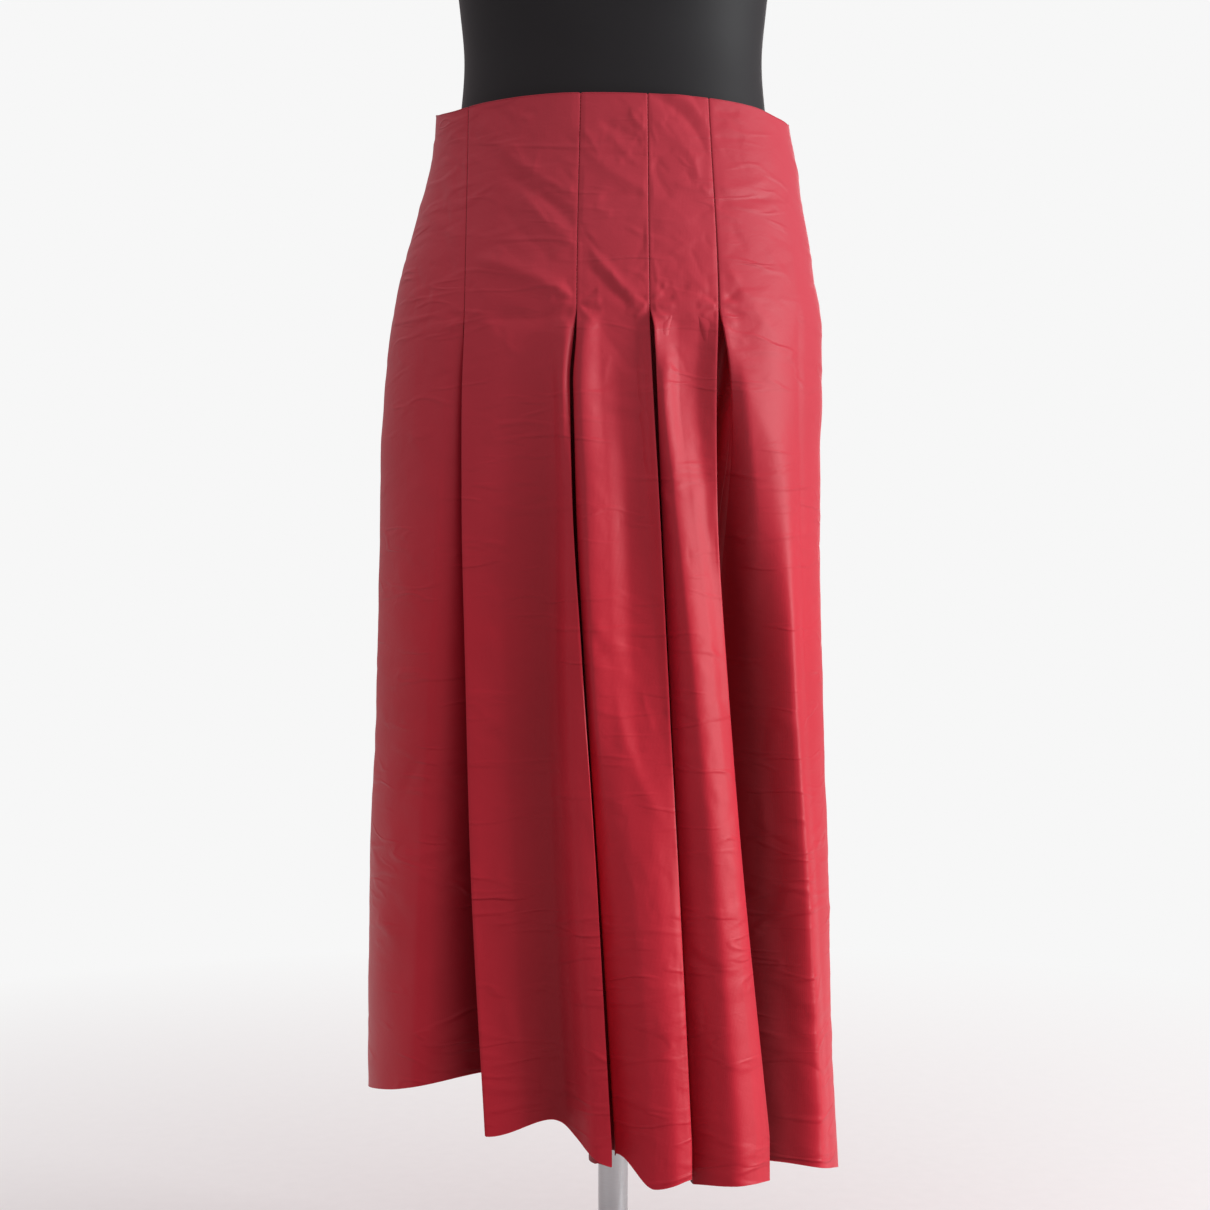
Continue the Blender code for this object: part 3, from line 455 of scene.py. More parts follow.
def round_corner(before, corner, after, reach, count):
    """Points of the round that replaces a corner, as a quadratic curve."""
    into, out = before - corner, after - corner
    into_length, out_length = np.linalg.norm(into), np.linalg.norm(out)
    into = into / into_length * min(reach, 0.48 * into_length)
    out = out / out_length * min(reach, 0.9 * out_length)
    t = np.linspace(0, 1, count)[:, None]
    return corner + into * (1 - t) ** 2 + out * t ** 2


flap_counts = (3, 4, 1, 4, 5, 4, 3)     # points of each stretch and round of a pleat's half


def flap_points(corners, rounds, face_point):
    """A pleat's half as points, from its seam to where the face of the gore starts."""
    chain = corners + [face_point]
    turns = [
        round_corner(chain[i - 1], chain[i], chain[i + 1], rounds[i], count)
        for i, count in zip((1, 2, 3, 4), flap_counts[1::2] + (flap_counts[-1],))
    ]
    parts = []
    last = corners[0]
    for turn_points, count in zip(turns[:3], flap_counts[0::2]):
        share = np.linspace(0, 1, count + 1)[:-1, None]
        if parts:
            share = np.linspace(0, 1, count + 2)[1:-1, None]
        parts.append(last + (turn_points[0] - last) * share)
        parts.append(turn_points)
        last = turn_points[-1]
    parts.append(turns[3])
    return np.vstack(parts)


def gore_path(name, first, last, height, face_count):
    """A gore's section at a height, as arc places and inward depths."""
    outline = Outline(height)
    back = name.startswith("back")
    start = pleat_side(outline, first, "second", height) if first in pleats else None
    end = pleat_side(outline, last, "first", height) if last in pleats else None
    ends = [start[0][-1] if start else np.array((outline.seam(first)[1], 0)),
            end[0][-1] if end else np.array((outline.seam(last)[0], 0))]
    knots = [ends[0]]
    for _, places, depths in folds[name]:
        knots.append(np.array((outline.arc_at(at_height(places, height), back),
                               at_height(depths, height))))
    knots = np.array(knots + [ends[1]])

    def face_at(arc):
        return np.column_stack((arc, smooth(knots[:, 0], knots[:, 1], arc)))

    leads = [layer_pitch / 2 if side else 0 for side in (start, end)]
    arcs = np.linspace(knots[0, 0] + leads[0], knots[-1, 0] - leads[1], face_count)
    face = face_at(arcs)
    parts = [face]
    if start:
        parts[0] = parts[0][1:]
        parts.insert(0, flap_points(*start, face[0]))
    if end:
        parts[-1] = parts[-1][:-1]
        parts.append(flap_points(*end, face[-1])[::-1])
    path = np.vstack(parts)
    x, y = outline.place(path[:, 0], path[:, 1])
    return x, y, path[:, 0], path[:, 1]


def hem_heights(first, last, count, face_count, heights):
    """The height of the hem at each point of a gore's section."""
    flap = sum(flap_counts)
    lead = flap if first in pleats else 0
    tail = flap if last in pleats else 0
    start, first_edge, middle, last_edge, end = heights
    places = [0, lead, (lead + count - 1 - tail) / 2, count - 1 - tail, count - 1]
    values = [start, first_edge, middle, last_edge, end]
    keep = [i for i in range(5) if i in (0, 2, 4) or places[i] not in (0, count - 1)]
    return smooth([places[i] for i in keep], [values[i] for i in keep], np.arange(count))


def gore_surface(name, first, last, heights, face_count, low_rows, high_rows):
    """Grid of a gore's points, rows from the hem up, how deep each lies and its face."""
    level_step = 3 * mm
    levels = np.arange(min(heights) - 2 * level_step, 1.040, level_step)
    stack = [gore_path(name, first, last, level, face_count) for level in levels]
    xs, ys, _, depths = (np.array(values) for values in zip(*stack))
    count = xs.shape[1]
    arcs = gore_path(name, first, last, waist_height, face_count)[2]
    tops = smooth(top_edge[:, 0], top_edge[:, 1], arcs / Outline(waist_height).arc[-1])
    hems = hem_heights(first, last, count, face_count, heights)
    change = 0.80
    z = np.vstack((np.linspace(hems, np.full(count, change), low_rows),
                   np.linspace(np.full(count, change), tops, high_rows + 1)[1:]))
    grid = np.empty(z.shape + (3,))
    depth = np.empty(z.shape)
    for column in range(count):
        grid[:, column, 0] = np.interp(z[:, column], levels, xs[:, column])
        grid[:, column, 1] = np.interp(z[:, column], levels, ys[:, column])
        depth[:, column] = np.interp(z[:, column], levels, depths[:, column])
    grid[:, :, 2] = z
    flap = sum(flap_counts) - 1
    face = np.ones(count)
    if first in pleats:
        face[:flap] = 0
    if last in pleats:
        face[-flap:] = 0
    return grid, depth, face


def outward_normals(grid):
    """Unit normals of a grid's points, pointing out of the skirt."""
    across = np.gradient(grid, axis=1)
    up = np.gradient(grid, axis=0)
    normals = np.cross(across, up)
    return normals / np.maximum(np.linalg.norm(normals, axis=2, keepdims=True), 1e-12)


# Creases of the front, as the photo shows them, in millimetres: from and to, across and up,
# then the bow sideways, the height (a trough is negative) and the width.
creases = {
    "front_gore_1": (
        (-136, 514, -168, 465, 5, -0.9, 5.6),
        (-174, 652, -146, 610, 3, 0.8, 5.6),
        (-162, 656, -136, 624, -3, -0.6, 4.8),
        (-189, 377, -168, 347, 3, 0.8, 5.6),
        (-177, 392, -159, 364, 2, -0.6, 4.8),
        (-157, 832, -137, 687, 8, 0.7, 9.6),
        (-142, 993, -125, 861, 3, -0.6, 6.4),
        (-154, 939, -120, 906, -2, 0.6, 5.6),
        (-182, 495, -172, 417, 2, 0.6, 7.2),
        (-144, 342, -148, 264, -3, 0.7, 8),
    ),
    "front_gore_2": (
        (-97, 991, -28, 941, 4, 1.3, 5.6),
        (-90, 969, -30, 926, 4, -1.2, 5.6),
        (-74, 947, -28, 901, 3, 1.2, 5.6),
        (-59, 947, -26, 915, 2, -1, 4.8),
        (-90, 940, -42, 887, 5, -0.9, 6.4),
        (-108, 893, -31, 856, -4, 3.0, 9.0),
        (-100, 846, -31, 846, 2, -2.6, 8.0),
        (-107, 1009, -74, 980, 2, 0.7, 6.4),
        (-105, 523, -88, 533, 2, 1, 3.2),
        (-105, 519, -86, 517, -2, -0.9, 3.2),
        (-85, 833, -73, 814, 2, 0.7, 4),
        (-84, 315, -61, 264, 4, 0.9, 6.4),
        (-88, 423, -79, 346, 2, 0.6, 8),
        (-42, 485, -37, 423, 2, 0.7, 4.8),
        (-96, 608, -82, 546, 3, 0.6, 7.2),
    ),
    "front_gore_3": (
        (-18, 897, 22, 854, 2, 1.8, 4.5),
        (-20, 885, 14, 852, 2, -1.4, 4.2),
        (-12, 938, 25, 941, -2, -1, 4),
        (-23, 978, 25, 946, 3, 0.8, 5.6),
        (-11, 1003, 26, 985, 2, -0.7, 4.8),
        (13, 1011, 26, 995, 2, 0.9, 3.2),
        (-18, 782, 28, 772, 2, 1, 3.6),
        (-17, 775, 28, 765, 2, -0.8, 4),
        (-17, 608, 9, 585, 2, 0.9, 4),
        (-15, 593, 6, 568, 2, -0.8, 4),
        (-11, 578, 20, 555, -2, 0.7, 4.8),
        (2, 547, 41, 449, 6, 0.9, 5.6),
        (20, 229, 54, 229, 1, 0.7, 2.8),
        (17, 223, 58, 217, -2, -0.6, 3.2),
        (31, 303, 58, 291, 2, 0.6, 4),
        (-12, 841, 20, 800, 3, -0.8, 5.6),
    ),
    "front_gore_4": (
        (30, 1023, 73, 980, -7, -1.2, 4.8),
        (40, 1026, 75, 999, -6, 1.1, 4.8),
        (30, 1003, 68, 957, -6, 0.9, 5.6),
        (33, 972, 46, 938, 4, -0.8, 4.8),
        (32, 915, 68, 927, 2, 0.6, 4),
        (33, 865, 60, 870, 2, -1.1, 4),
        (32, 852, 77, 858, -2, 1, 4),
        (58, 354, 97, 333, 3, -1.4, 3.2),
        (59, 359, 96, 339, 3, 1, 3.2),
        (66, 390, 96, 393, 2, -0.7, 3.2),
        (80, 322, 102, 325, 2, 0.8, 3.2),
        (80, 725, 59, 697, 2, 0.6, 4.8),
        (47, 531, 68, 520, 2, 0.6, 4.8),
        (86, 424, 101, 413, 2, 0.7, 4),
    ),
    "front_gore_5": (
        (80, 1014, 101, 1015, 1, -0.9, 3.2),
        (81, 992, 105, 994, 1, -0.7, 3.2),
        (79, 938, 128, 948, 1, -1, 4),
        (83, 948, 124, 962, 2, 0.8, 4.8),
        (85, 868, 101, 855, 2, -1.2, 3.2),
        (90, 885, 124, 838, 3, 0.8, 6.4),
        (129, 532, 146, 526, 1, 1.2, 3.2),
        (129, 526, 125, 495, 1, 1, 3.2),
        (120, 474, 127, 419, 2, 0.7, 4.8),
        (127, 364, 144, 403, 2, 1, 4.8),
        (146, 387, 187, 366, 2, 0.7, 4),
        (147, 293, 187, 274, 2, -0.9, 3.2),
        (143, 284, 185, 258, 1, 0.7, 3.2),
        (149, 257, 187, 239, 2, -0.7, 3.2),
        (152, 228, 180, 208, 1, 0.6, 3.2),
        (147, 199, 182, 181, 1, -0.6, 3.2),
        (143, 915, 156, 843, 2, 0.7, 6.4),
        (99, 812, 143, 728, 8, 0.8, 9.6),
        (149, 866, 154, 624, 2, -0.9, 4),
        (153, 624, 161, 511, 2, -0.9, 4),
    ),
}


def crease_lift(rows, across, height):
    """How far a table's creases lift the cloth at places seen from the front, in metres."""
    total = np.zeros_like(across)
    for x0, z0, x1, z1, bow, lift, width in rows:
        start, end = np.array((x0, z0)) * mm, np.array((x1, z1)) * mm
        length = np.linalg.norm(end - start)
        run = (end - start) / length
        along = ((across - start[0]) * run[0] + (height - start[1]) * run[1]) / length
        aside = (across - start[0]) * -run[1] + (height - start[1]) * run[0]
        aside = aside + bow * mm * 4 * along * (1 - along)
        fade = np.clip(np.minimum(along, 1 - along) * 3.5 + 0.25, 0, 1)
        fade = fade * fade * (3 - 2 * fade)
        thin = width * mm * (0.45 + 0.55 * fade)
        total += lift * mm * fade * np.exp(-np.abs(aside / thin) ** 1.6)
    return total


def star(x, z, reach, lines):
    """Short creases from the end of a row of stitches: direction in degrees and lift."""
    rows = []
    for angle, lift in lines:
        turn = math.radians(angle)
        rows.append((x + 1.5 * math.cos(turn), z + 1.5 * math.sin(turn),
                     x + reach * math.cos(turn), z + reach * math.sin(turn), 1, lift, 2.3))
    return tuple(rows)


stitch_ends = {"front_1": (-117.5, 845), "front_2": (-28.7, 855),
               "front_3": (28.0, 855), "front_4": (82.0, 855)}
stars = {
    "front_gore_1": star(*stitch_ends["front_1"], 15, ((-150, 0.6), (-200, -0.7), (-235, 0.5))),
    "front_gore_2": (star(*stitch_ends["front_1"], 15, ((30, 0.5), (-20, -0.6)))
                     + star(*stitch_ends["front_2"], 20,
                            ((195, 1.0), (170, -0.9), (145, 0.9), (120, -0.6)))),
    "front_gore_3": (star(*stitch_ends["front_2"], 20,
                          ((-20, -1.0), (5, 1.0), (35, -0.7), (-50, 0.9)))
                     + star(*stitch_ends["front_3"], 18, ((190, 0.9), (160, -0.8), (230, 0.8)))),
    "front_gore_4": (star(*stitch_ends["front_3"], 20,
                          ((15, -1.1), (-10, 1.1), (50, 0.8), (-45, 0.8)))
                     + star(*stitch_ends["front_4"], 18, ((190, 0.8), (155, -0.8), (220, 0.6)))),
    "front_gore_5": star(*stitch_ends["front_4"], 22,
                         ((40, -1.1), (10, 0.9), (-25, -0.9), (-50, 1.0))),
}


def lattice_noise(across, height, size, seed):
    """Smooth noise between -1 and 1, with features of about a size in millimetres."""
    values = np.random.default_rng(seed).uniform(-1, 1, (256, 256))
    u, v = across / (size * mm), height / (size * mm)
    i, j = np.floor(u).astype(int), np.floor(v).astype(int)
    fu, fv = u - i, v - j
    fu, fv = fu * fu * (3 - 2 * fu), fv * fv * (3 - 2 * fv)
    a, b = values[i % 256, j % 256], values[(i + 1) % 256, j % 256]
    c, d = values[i % 256, (j + 1) % 256], values[(i + 1) % 256, (j + 1) % 256]
    return (a * (1 - fu) + b * fu) * (1 - fv) + (c * (1 - fu) + d * fu) * fv


def fine_creases(seed, grid, count, slant):
    """Short faint creases that a worn and folded cotton keeps, all over a gore."""
    pick = np.random.default_rng(seed)
    rows = []
    for _ in range(count):
        row = int(pick.uniform(0.02, 0.98) * grid.shape[0])
        column = int(pick.uniform(0.05, 0.95) * grid.shape[1])
        x, z = grid[row, column, 0] / mm, grid[row, column, 2] / mm
        length = pick.uniform(10, 34)
        turn = math.radians(slant + pick.normal(0, 32))
        dx, dz = length / 2 * math.cos(turn), length / 2 * math.sin(turn)
        rows.append((x - dx, z - dz, x + dx, z + dz, pick.uniform(-2, 2),
                     pick.choice((-1, 1)) * pick.uniform(0.14, 0.46), pick.uniform(1.6, 3.2)))
    return tuple(rows)


def hidden_creases(seed, grid):
    """Creases for a hidden gore like those of the front, strongest in the stitched yoke."""
    pick = np.random.default_rng(seed)
    columns = grid[grid.shape[0] // 2, :, 0] / mm
    left, width = columns.min(), np.ptp(columns)
    rows = []
    for step in range(6):
        z = 1005 - 27 * step + pick.uniform(-6, 6)
        x = left + width * pick.uniform(0.0, 0.3)
        rows.append((x, z, x + width * pick.uniform(0.5, 0.8), z - pick.uniform(-8, 36),
                     pick.uniform(-4, 4), (1 if step % 2 else -1) * pick.uniform(0.6, 1.3),
                     pick.uniform(4, 6.5)))
    for step in range(9):
        z = 820 - 70 * step + pick.uniform(-20, 20)
        x = left + width * pick.uniform(0.0, 0.5)
        rows.append((x, z, x + width * pick.uniform(0.25, 0.5), z - pick.uniform(-20, 60),
                     pick.uniform(-4, 4), (1 if step % 3 else -1) * pick.uniform(0.5, 1.0),
                     pick.uniform(3.5, 6.5)))
    return tuple(rows)


def piece_from_mesh(name, points, faces, finish):
    """A new object of these points and faces, which alone is selected."""
    mesh = bpy.data.meshes.new(name)
    mesh.from_pydata(points, [], faces)
    mesh.materials.append(finish)
    thing = bpy.data.objects.new(name, mesh)
    bpy.context.scene.collection.objects.link(thing)
    bpy.ops.object.select_all(action="DESELECT")
    thing.select_set(True)
    bpy.context.view_layer.objects.active = thing
    return thing


def apply_modifier(thing, kind, **settings):
    """Give the active object a modifier with these settings, and apply it."""
    modifier = thing.modifiers.new(kind.lower(), kind)
    for key, value in settings.items():
        setattr(modifier, key, value)
    bpy.ops.object.modifier_apply(modifier=modifier.name)


def declare(thing, body, slot, *nodes):
    """The body that a piece rides on and the nodes that it stands for. The slot is not used."""
    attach(thing, body)
    if nodes:
        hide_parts(*nodes)
    return thing


def sheet_from_grid(name, grid, finish, thickness, sheltered=None):
    """An object from a grid of points, with a UV map in metres and its wall applied."""
    rows, columns = grid.shape[:2]
    index = np.arange(rows * columns).reshape(rows, columns)
    faces = np.stack((index[:-1, :-1], index[:-1, 1:], index[1:, 1:], index[1:, :-1]), -1)
    thing = piece_from_mesh(name, grid.reshape(-1, 3).tolist(), faces.reshape(-1, 4).tolist(),
                            finish)
    mesh = thing.data
    middle = grid[rows // 2]
    width = np.concatenate(([0], np.cumsum(np.linalg.norm(np.diff(middle, axis=0), axis=1))))
    uv = np.stack(np.broadcast_arrays(width[None, :], grid[:, :, 2]), -1).reshape(-1, 2)
    layer = mesh.uv_layers.new(name="cloth")
    loops = np.empty(len(mesh.loops), int)
    mesh.loops.foreach_get("vertex_index", loops)
    layer.data.foreach_set("uv", uv[loops].ravel())
    # Each point's share of painted shade, which the cloth's material reads to darken its colour.
    if sheltered is not None:
        mesh.attributes.new("sheltered", "FLOAT", "POINT").data.foreach_set(
            "value", sheltered.astype(np.float32).ravel())
    apply_modifier(thing, "SOLIDIFY", thickness=thickness, offset=0)
    bpy.ops.object.shade_smooth_by_angle(angle=math.radians(50))
    return thing


def combine(add, operation, first, second):
    """The sum or product of two numbers of a material."""
    node = add("Math", {"operation": operation})
    for value, socket in zip((first, second), node.inputs):
        node.id_data.links.new(value, socket)
    return node.outputs[0]


def red_cotton():
    """Fine plain-weave cotton: a slight sheen, soft rumples and a weave of half a mm.

    Deep inside the pleats the cloth is painted a darker red, as painted shade; above the hip it is
    painted paler, as a painted sheen.
    """
    made, set_shader, add = new_material("red_cotton")
    uv = add("UVMap", {"uv_map": "cloth"}).outputs["UV"]
    place = add("TexCoord").outputs["Object"]
    cloud = add("TexNoise", Vector=place, Scale=9.0, Detail=3.0, Roughness=0.5)
    tone = two_tone(add, cloud.outputs["Fac"], (0.575, 0.012, 0.031), (0.635, 0.015, 0.037),
                    0.3, 0.7)
    level = add("SeparateXYZ", Vector=place)
    # Painted sheen: the colour turns paler and pinker from the hip up to the waist, standing in
    # for the whitish light that the flat yoke takes.
    high = add("MapRange", Value=level.outputs["Z"], From_Min=0.60, From_Max=0.92)
    painted_yoke_sheen = add("MixRGB", Fac=high.outputs["Result"], Color1=tone,
                    Color2=(0.560, 0.038, 0.064, 1))
    # Painted shade: where a point lies deep inside a pleat, its colour is mixed toward a dark red.
    inside = add("Attribute", {"attribute_name": "sheltered"})
    shaded = add("MixRGB", Fac=inside.outputs["Fac"], Color1=painted_yoke_sheen.outputs["Color"],
                 Color2=(0.20, 0.002, 0.007, 1))
    stretch = add("Mapping", Vector=place, Scale=(1.0, 1.0, 1.6))
    rumple = add("TexNoise", Vector=stretch.outputs["Vector"], Scale=45.0, Detail=4.0,
                 Roughness=0.55, Distortion=0.6)
    first = add("Bump", Height=rumple.outputs["Fac"], Strength=0.4, Distance=1.0 * mm)
    for slant, size, seed, depth in ((0.6, 13.0, 0.0, 1.0), (-0.95, 20.0, 7.0, 0.7)):
        turned = add("Mapping", Vector=place, Location=(seed, seed, seed),
                     Rotation=(0, slant, 0), Scale=(0.8, 0.8, 3.0))
        lines = add("TexNoise", Vector=turned.outputs["Vector"], Scale=size, Detail=1.0,
                    Distortion=0.15)
        ridge = add("MapRange", {"interpolation_type": "SMOOTHSTEP"},
                    Value=lines.outputs["Fac"], From_Min=0.47, From_Max=0.545)
        valley = add("MapRange", {"interpolation_type": "SMOOTHSTEP"},
                     Value=lines.outputs["Fac"], From_Min=0.62, From_Max=0.545)
        patch = add("TexNoise", Vector=turned.outputs["Vector"], Scale=size * 0.7, Detail=1.0)
        kept = add("MapRange", {"interpolation_type": "SMOOTHSTEP"},
                   Value=patch.outputs["Fac"], From_Min=0.46, From_Max=0.62)
        line = combine(add, "MULTIPLY", ridge.outputs["Result"], valley.outputs["Result"])
        crease = combine(add, "MULTIPLY", line, kept.outputs["Result"])
        first = add("Bump", Height=crease, Strength=1.0, Distance=depth * 0.55 * mm,
                    Normal=first.outputs["Normal"])
    warp = add("TexWave", {"bands_direction": "X"}, Vector=uv, Scale=320.0, Distortion=0.3)
    weft = add("TexWave", {"bands_direction": "Y"}, Vector=uv, Scale=320.0, Distortion=0.3)
    weave = add("MixRGB", {"blend_type": "ADD"}, Fac=1.0, Color1=warp.outputs["Color"],
                Color2=weft.outputs["Color"])
    second = add("Bump", Height=weave.outputs["Color"], Strength=0.25, Distance=0.08 * mm,
                 Normal=first.outputs["Normal"])
    set_shader(Base_Color=shaded.outputs["Color"], Roughness=0.5, Sheen_Weight=0.12,
               Sheen_Roughness=0.4, Sheen_Tint=(1, 0.75, 0.78, 1), Specular_IOR_Level=0.3,
               Normal=second.outputs["Normal"])
    return made


def edge_roll(name, runs, finish):
    """Thin rolls along the runs of points, joined as one piece: the folds of a turned edge."""
    sides = 8
    turn = np.linspace(0, 2 * math.pi, sides, endpoint=False)
    points, faces = [], []
    for run, radius, tall in runs:
        along = np.gradient(run, axis=0)
        along /= np.linalg.norm(along, axis=1, keepdims=True)
        out = np.cross(along, (0, 0, 1))
        out /= np.linalg.norm(out, axis=1, keepdims=True)
        rise = np.cross(out, along)
        start = len(points) * sides
        for place, aside, up in zip(run, out, rise):
            points.append(place + radius * np.outer(np.cos(turn), aside)
                          + tall * np.outer(np.sin(turn), up))
        ring = start + np.arange(len(run) * sides).reshape(len(run), sides)
        beside = np.roll(ring, -1, axis=1)
        quads = np.stack((ring[:-1], beside[:-1], beside[1:], ring[1:]), -1)
        faces += quads.reshape(-1, 4).tolist()
        faces += [ring[0][::-1].tolist(), ring[-1].tolist()]
    thing = piece_from_mesh(name, np.vstack(points).tolist(), faces, finish)
    thing.data.uv_layers.new(name="cloth")
    thing.data.update()
    bpy.ops.object.mode_set(mode="EDIT")
    bpy.ops.mesh.select_all(action="SELECT")
    bpy.ops.mesh.normals_make_consistent(inside=False)
    bpy.ops.object.mode_set(mode="OBJECT")
    bpy.ops.object.shade_smooth_by_angle(angle=math.radians(60))
    return thing


shown_wall = 0.8 * mm
painted_shade_start = 4 * mm                  # depth from which the cloth is painted darker, as painted shade
painted_shade_reach = 26 * mm
darkest_painted_shade = 0.85
front_rows, back_rows = (130, 125), (95, 75)        # below and above the height of the hip
front_columns, back_columns = 62, 38
faint_creases = 110                     # on each gore
faint_slant = -35                       # degrees
broad_rumple = (0.40 * mm, 28)          # height, and size in millimetres
small_rumple = (0.16 * mm, 11)
calm_columns = 3                        # beside each edge, where the creases die out
top_roll = (0.75 * mm, 0.55 * mm)       # half thickness and half height of the top's fold
hem_roll = (0.60 * mm, 0.45 * mm)
cotton = red_cotton()
gore_grids = {}
gore_faces = {}
for number, (name, first, last, heights) in enumerate(gores):
    is_front = name.startswith("front")
    rows = front_rows if is_front else back_rows
    face_count = front_columns if is_front else back_columns
    grid, depth, face = gore_surface(name, first, last, heights, face_count, *rows)
    normals = outward_normals(grid)
    across, height = grid[..., 0], grid[..., 2]
    if is_front:
        lift = crease_lift(creases[name] + stars[name], across, height)
    else:
        lift = crease_lift(hidden_creases(number, grid), across, height)
    lift += crease_lift(fine_creases(100 + number, grid, faint_creases, faint_slant),
                        across, height)
    lift += broad_rumple[0] * lattice_noise(across + 0.5 * height, height, broad_rumple[1], 3)
    lift += small_rumple[0] * lattice_noise(across - 0.4 * height, height, small_rumple[1], 5)
    columns = np.arange(grid.shape[1])
    on_face = np.flatnonzero(face)
    inside = np.minimum(columns - on_face[0], on_face[-1] - columns)
    near_edge = np.clip(inside / calm_columns, 0, 1) * face
    grid = grid + normals * (lift * near_edge[None, :])[..., None]
    gore_grids[name] = grid
    gore_faces[name] = (on_face[0], on_face[-1])
    # Painted shade: the deeper inside a pleat, the darker the colour, from the start depth over
    # the reach.
    sheltered = darkest_painted_shade * np.clip((depth - painted_shade_start) / painted_shade_reach, 0, 1)
    gore = sheet_from_grid(name + "_cloth", grid, cotton, shown_wall, sheltered)
    declare(gore, skirt_body, "cotton_cloth", name)
    edges = edge_roll(name + "_turned_edges", [
        (grid[-1, on_face[0]:on_face[-1] + 1], *top_roll),
        (grid[0, on_face[0]:on_face[-1] + 1], *hem_roll),
    ], cotton)
    declare(edges, skirt_body, "cotton_cloth")

# ---------------------------------------------------------------------------------------
# Dress form. A limbless padded torso under a smooth black jersey cover, with a little bust,
# a short neck and a drawn-in bottom edge. The skirt rests on its hips.
# ---------------------------------------------------------------------------------------
form_bottom = 0.740
neck_top = 1.500
form_power = 2.2
form_points = 128
form_rows = 220
bust_proud = 30 * mm
bust_place = 72 * mm            # from the middle of the form to the middle of each side
bust_spread = 46 * mm
#   height   half    front   back    bust     half width, half depths and share of the bust
form_sections = np.array((
    (form_bottom, 0.128, 0.060, 0.088, 0),
    (0.746, 0.150, 0.076, 0.108, 0),
    (0.762, 0.164, 0.088, 0.121, 0),
    (0.790, 0.1705, 0.0960, 0.1285, 0),
    (0.825, 0.1720, 0.1020, 0.1325, 0),
    (0.860, 0.1695, 0.1135, 0.1320, 0),
    (0.900, 0.1635, 0.1125, 0.1275, 0),
    (0.945, 0.1540, 0.1045, 0.1160, 0),
    (0.990, 0.1400, 0.0970, 0.1035, 0),
    (1.030, 0.1285, 0.0920, 0.0960, 0),
    (1.075, 0.1253, 0.0880, 0.0910, 0),
    (1.120, 0.1290, 0.0880, 0.0900, 0.1),
    (1.170, 0.1360, 0.0900, 0.0910, 0.45),
    (1.215, 0.1430, 0.0920, 0.0940, 0.9),
    (1.245, 0.1470, 0.0930, 0.0970, 1.0),
    (1.280, 0.1530, 0.0920, 0.1010, 0.8),
    (1.320, 0.1590, 0.0890, 0.1040, 0.4),
    (1.360, 0.1620, 0.0820, 0.1030, 0.1),
    (1.395, 0.1580, 0.0740, 0.0970, 0),
    (1.418, 0.1400, 0.0670, 0.0880, 0),
    (1.436, 0.1080, 0.0610, 0.0770, 0),
    (1.450, 0.0780, 0.0560, 0.0660, 0),
    (1.465, 0.0600, 0.0540, 0.0580, 0),
    (1.482, 0.0540, 0.0520, 0.0540, 0),
    (neck_top, 0.0520, 0.0500, 0.0520, 0),
))


def form_row(height):
    """A section of the dress form, counter-clockwise from the wearer's left."""
    half, front, back, bust = (
        float(smooth(form_sections[:, 0], form_sections[:, column], height))
        for column in range(1, 5)
    )
    angle = np.linspace(0, 2 * math.pi, form_points, endpoint=False)
    across, along = np.cos(angle), np.sin(angle)
    x = half * np.sign(across) * np.abs(across) ** (2 / form_power)
    y = np.where(along > 0, back, front) * np.sign(along)
    y *= np.abs(along) ** (2 / form_power)
    away = (np.abs(x) - bust_place) / bust_spread
    y -= np.where(along < 0, bust * bust_proud * np.exp(-away ** 2) * np.abs(along) ** 0.5, 0)
    return np.column_stack((x, y, np.full(form_points, height)))


def black_jersey():
    """Fine black knit, drawn smooth, with a soft sheen."""
    made, set_shader, add = new_material("black_jersey")
    place = add("TexCoord").outputs["Object"]
    cloud = add("TexNoise", Vector=place, Scale=14.0, Detail=2.0)
    tone = two_tone(add, cloud.outputs["Fac"], (0.0066, 0.0062, 0.0080),
                    (0.0090, 0.0086, 0.0108))
    courses = add("TexWave", {"bands_direction": "Z"}, Vector=place, Scale=420.0,
                  Distortion=0.4)
    wales = add("TexNoise", Vector=place, Scale=1400.0, Detail=1.0)
    knit = combine(add, "ADD", courses.outputs["Fac"], wales.outputs["Fac"])
    loops = add("Bump", Height=knit, Strength=0.2, Distance=0.15 * mm)
    set_shader(Base_Color=tone, Roughness=0.62, Sheen_Weight=0.04,
               Sheen_Roughness=0.5, Specular_IOR_Level=0.35, Normal=loops.outputs["Normal"])
    return made


span = np.linspace(0, 1, form_rows)
levels = form_bottom + (neck_top - form_bottom) * (span - 0.04 * np.sin(2 * math.pi * span))
rings = np.array([form_row(level) for level in levels])
index = np.arange(form_rows * form_points).reshape(form_rows, form_points)
beside = np.roll(index, -1, axis=1)
sides = np.stack((index[:-1], beside[:-1], beside[1:], index[1:]), -1).reshape(-1, 4)
ends = [index[0][::-1].tolist(), index[-1].tolist()]
torso = piece_from_mesh("jersey_torso", rings.reshape(-1, 3).tolist(), sides.tolist() + ends,
                        black_jersey())
bpy.ops.object.shade_smooth_by_angle(angle=math.radians(35))
declare(torso, skirt_body, "form_jersey", "form_torso")

# ---------------------------------------------------------------------------------------
# Stitches. Each pleat is held down from the waist to the hip by a row of small stitches of
# red thread, which sink into the ditch where the pleat's two edges meet.
# ---------------------------------------------------------------------------------------
stitch_pitch = 2.8 * mm
stitch_length = 2.1 * mm
thread_radius = 0.28 * mm
stitch_bottom = 0.853

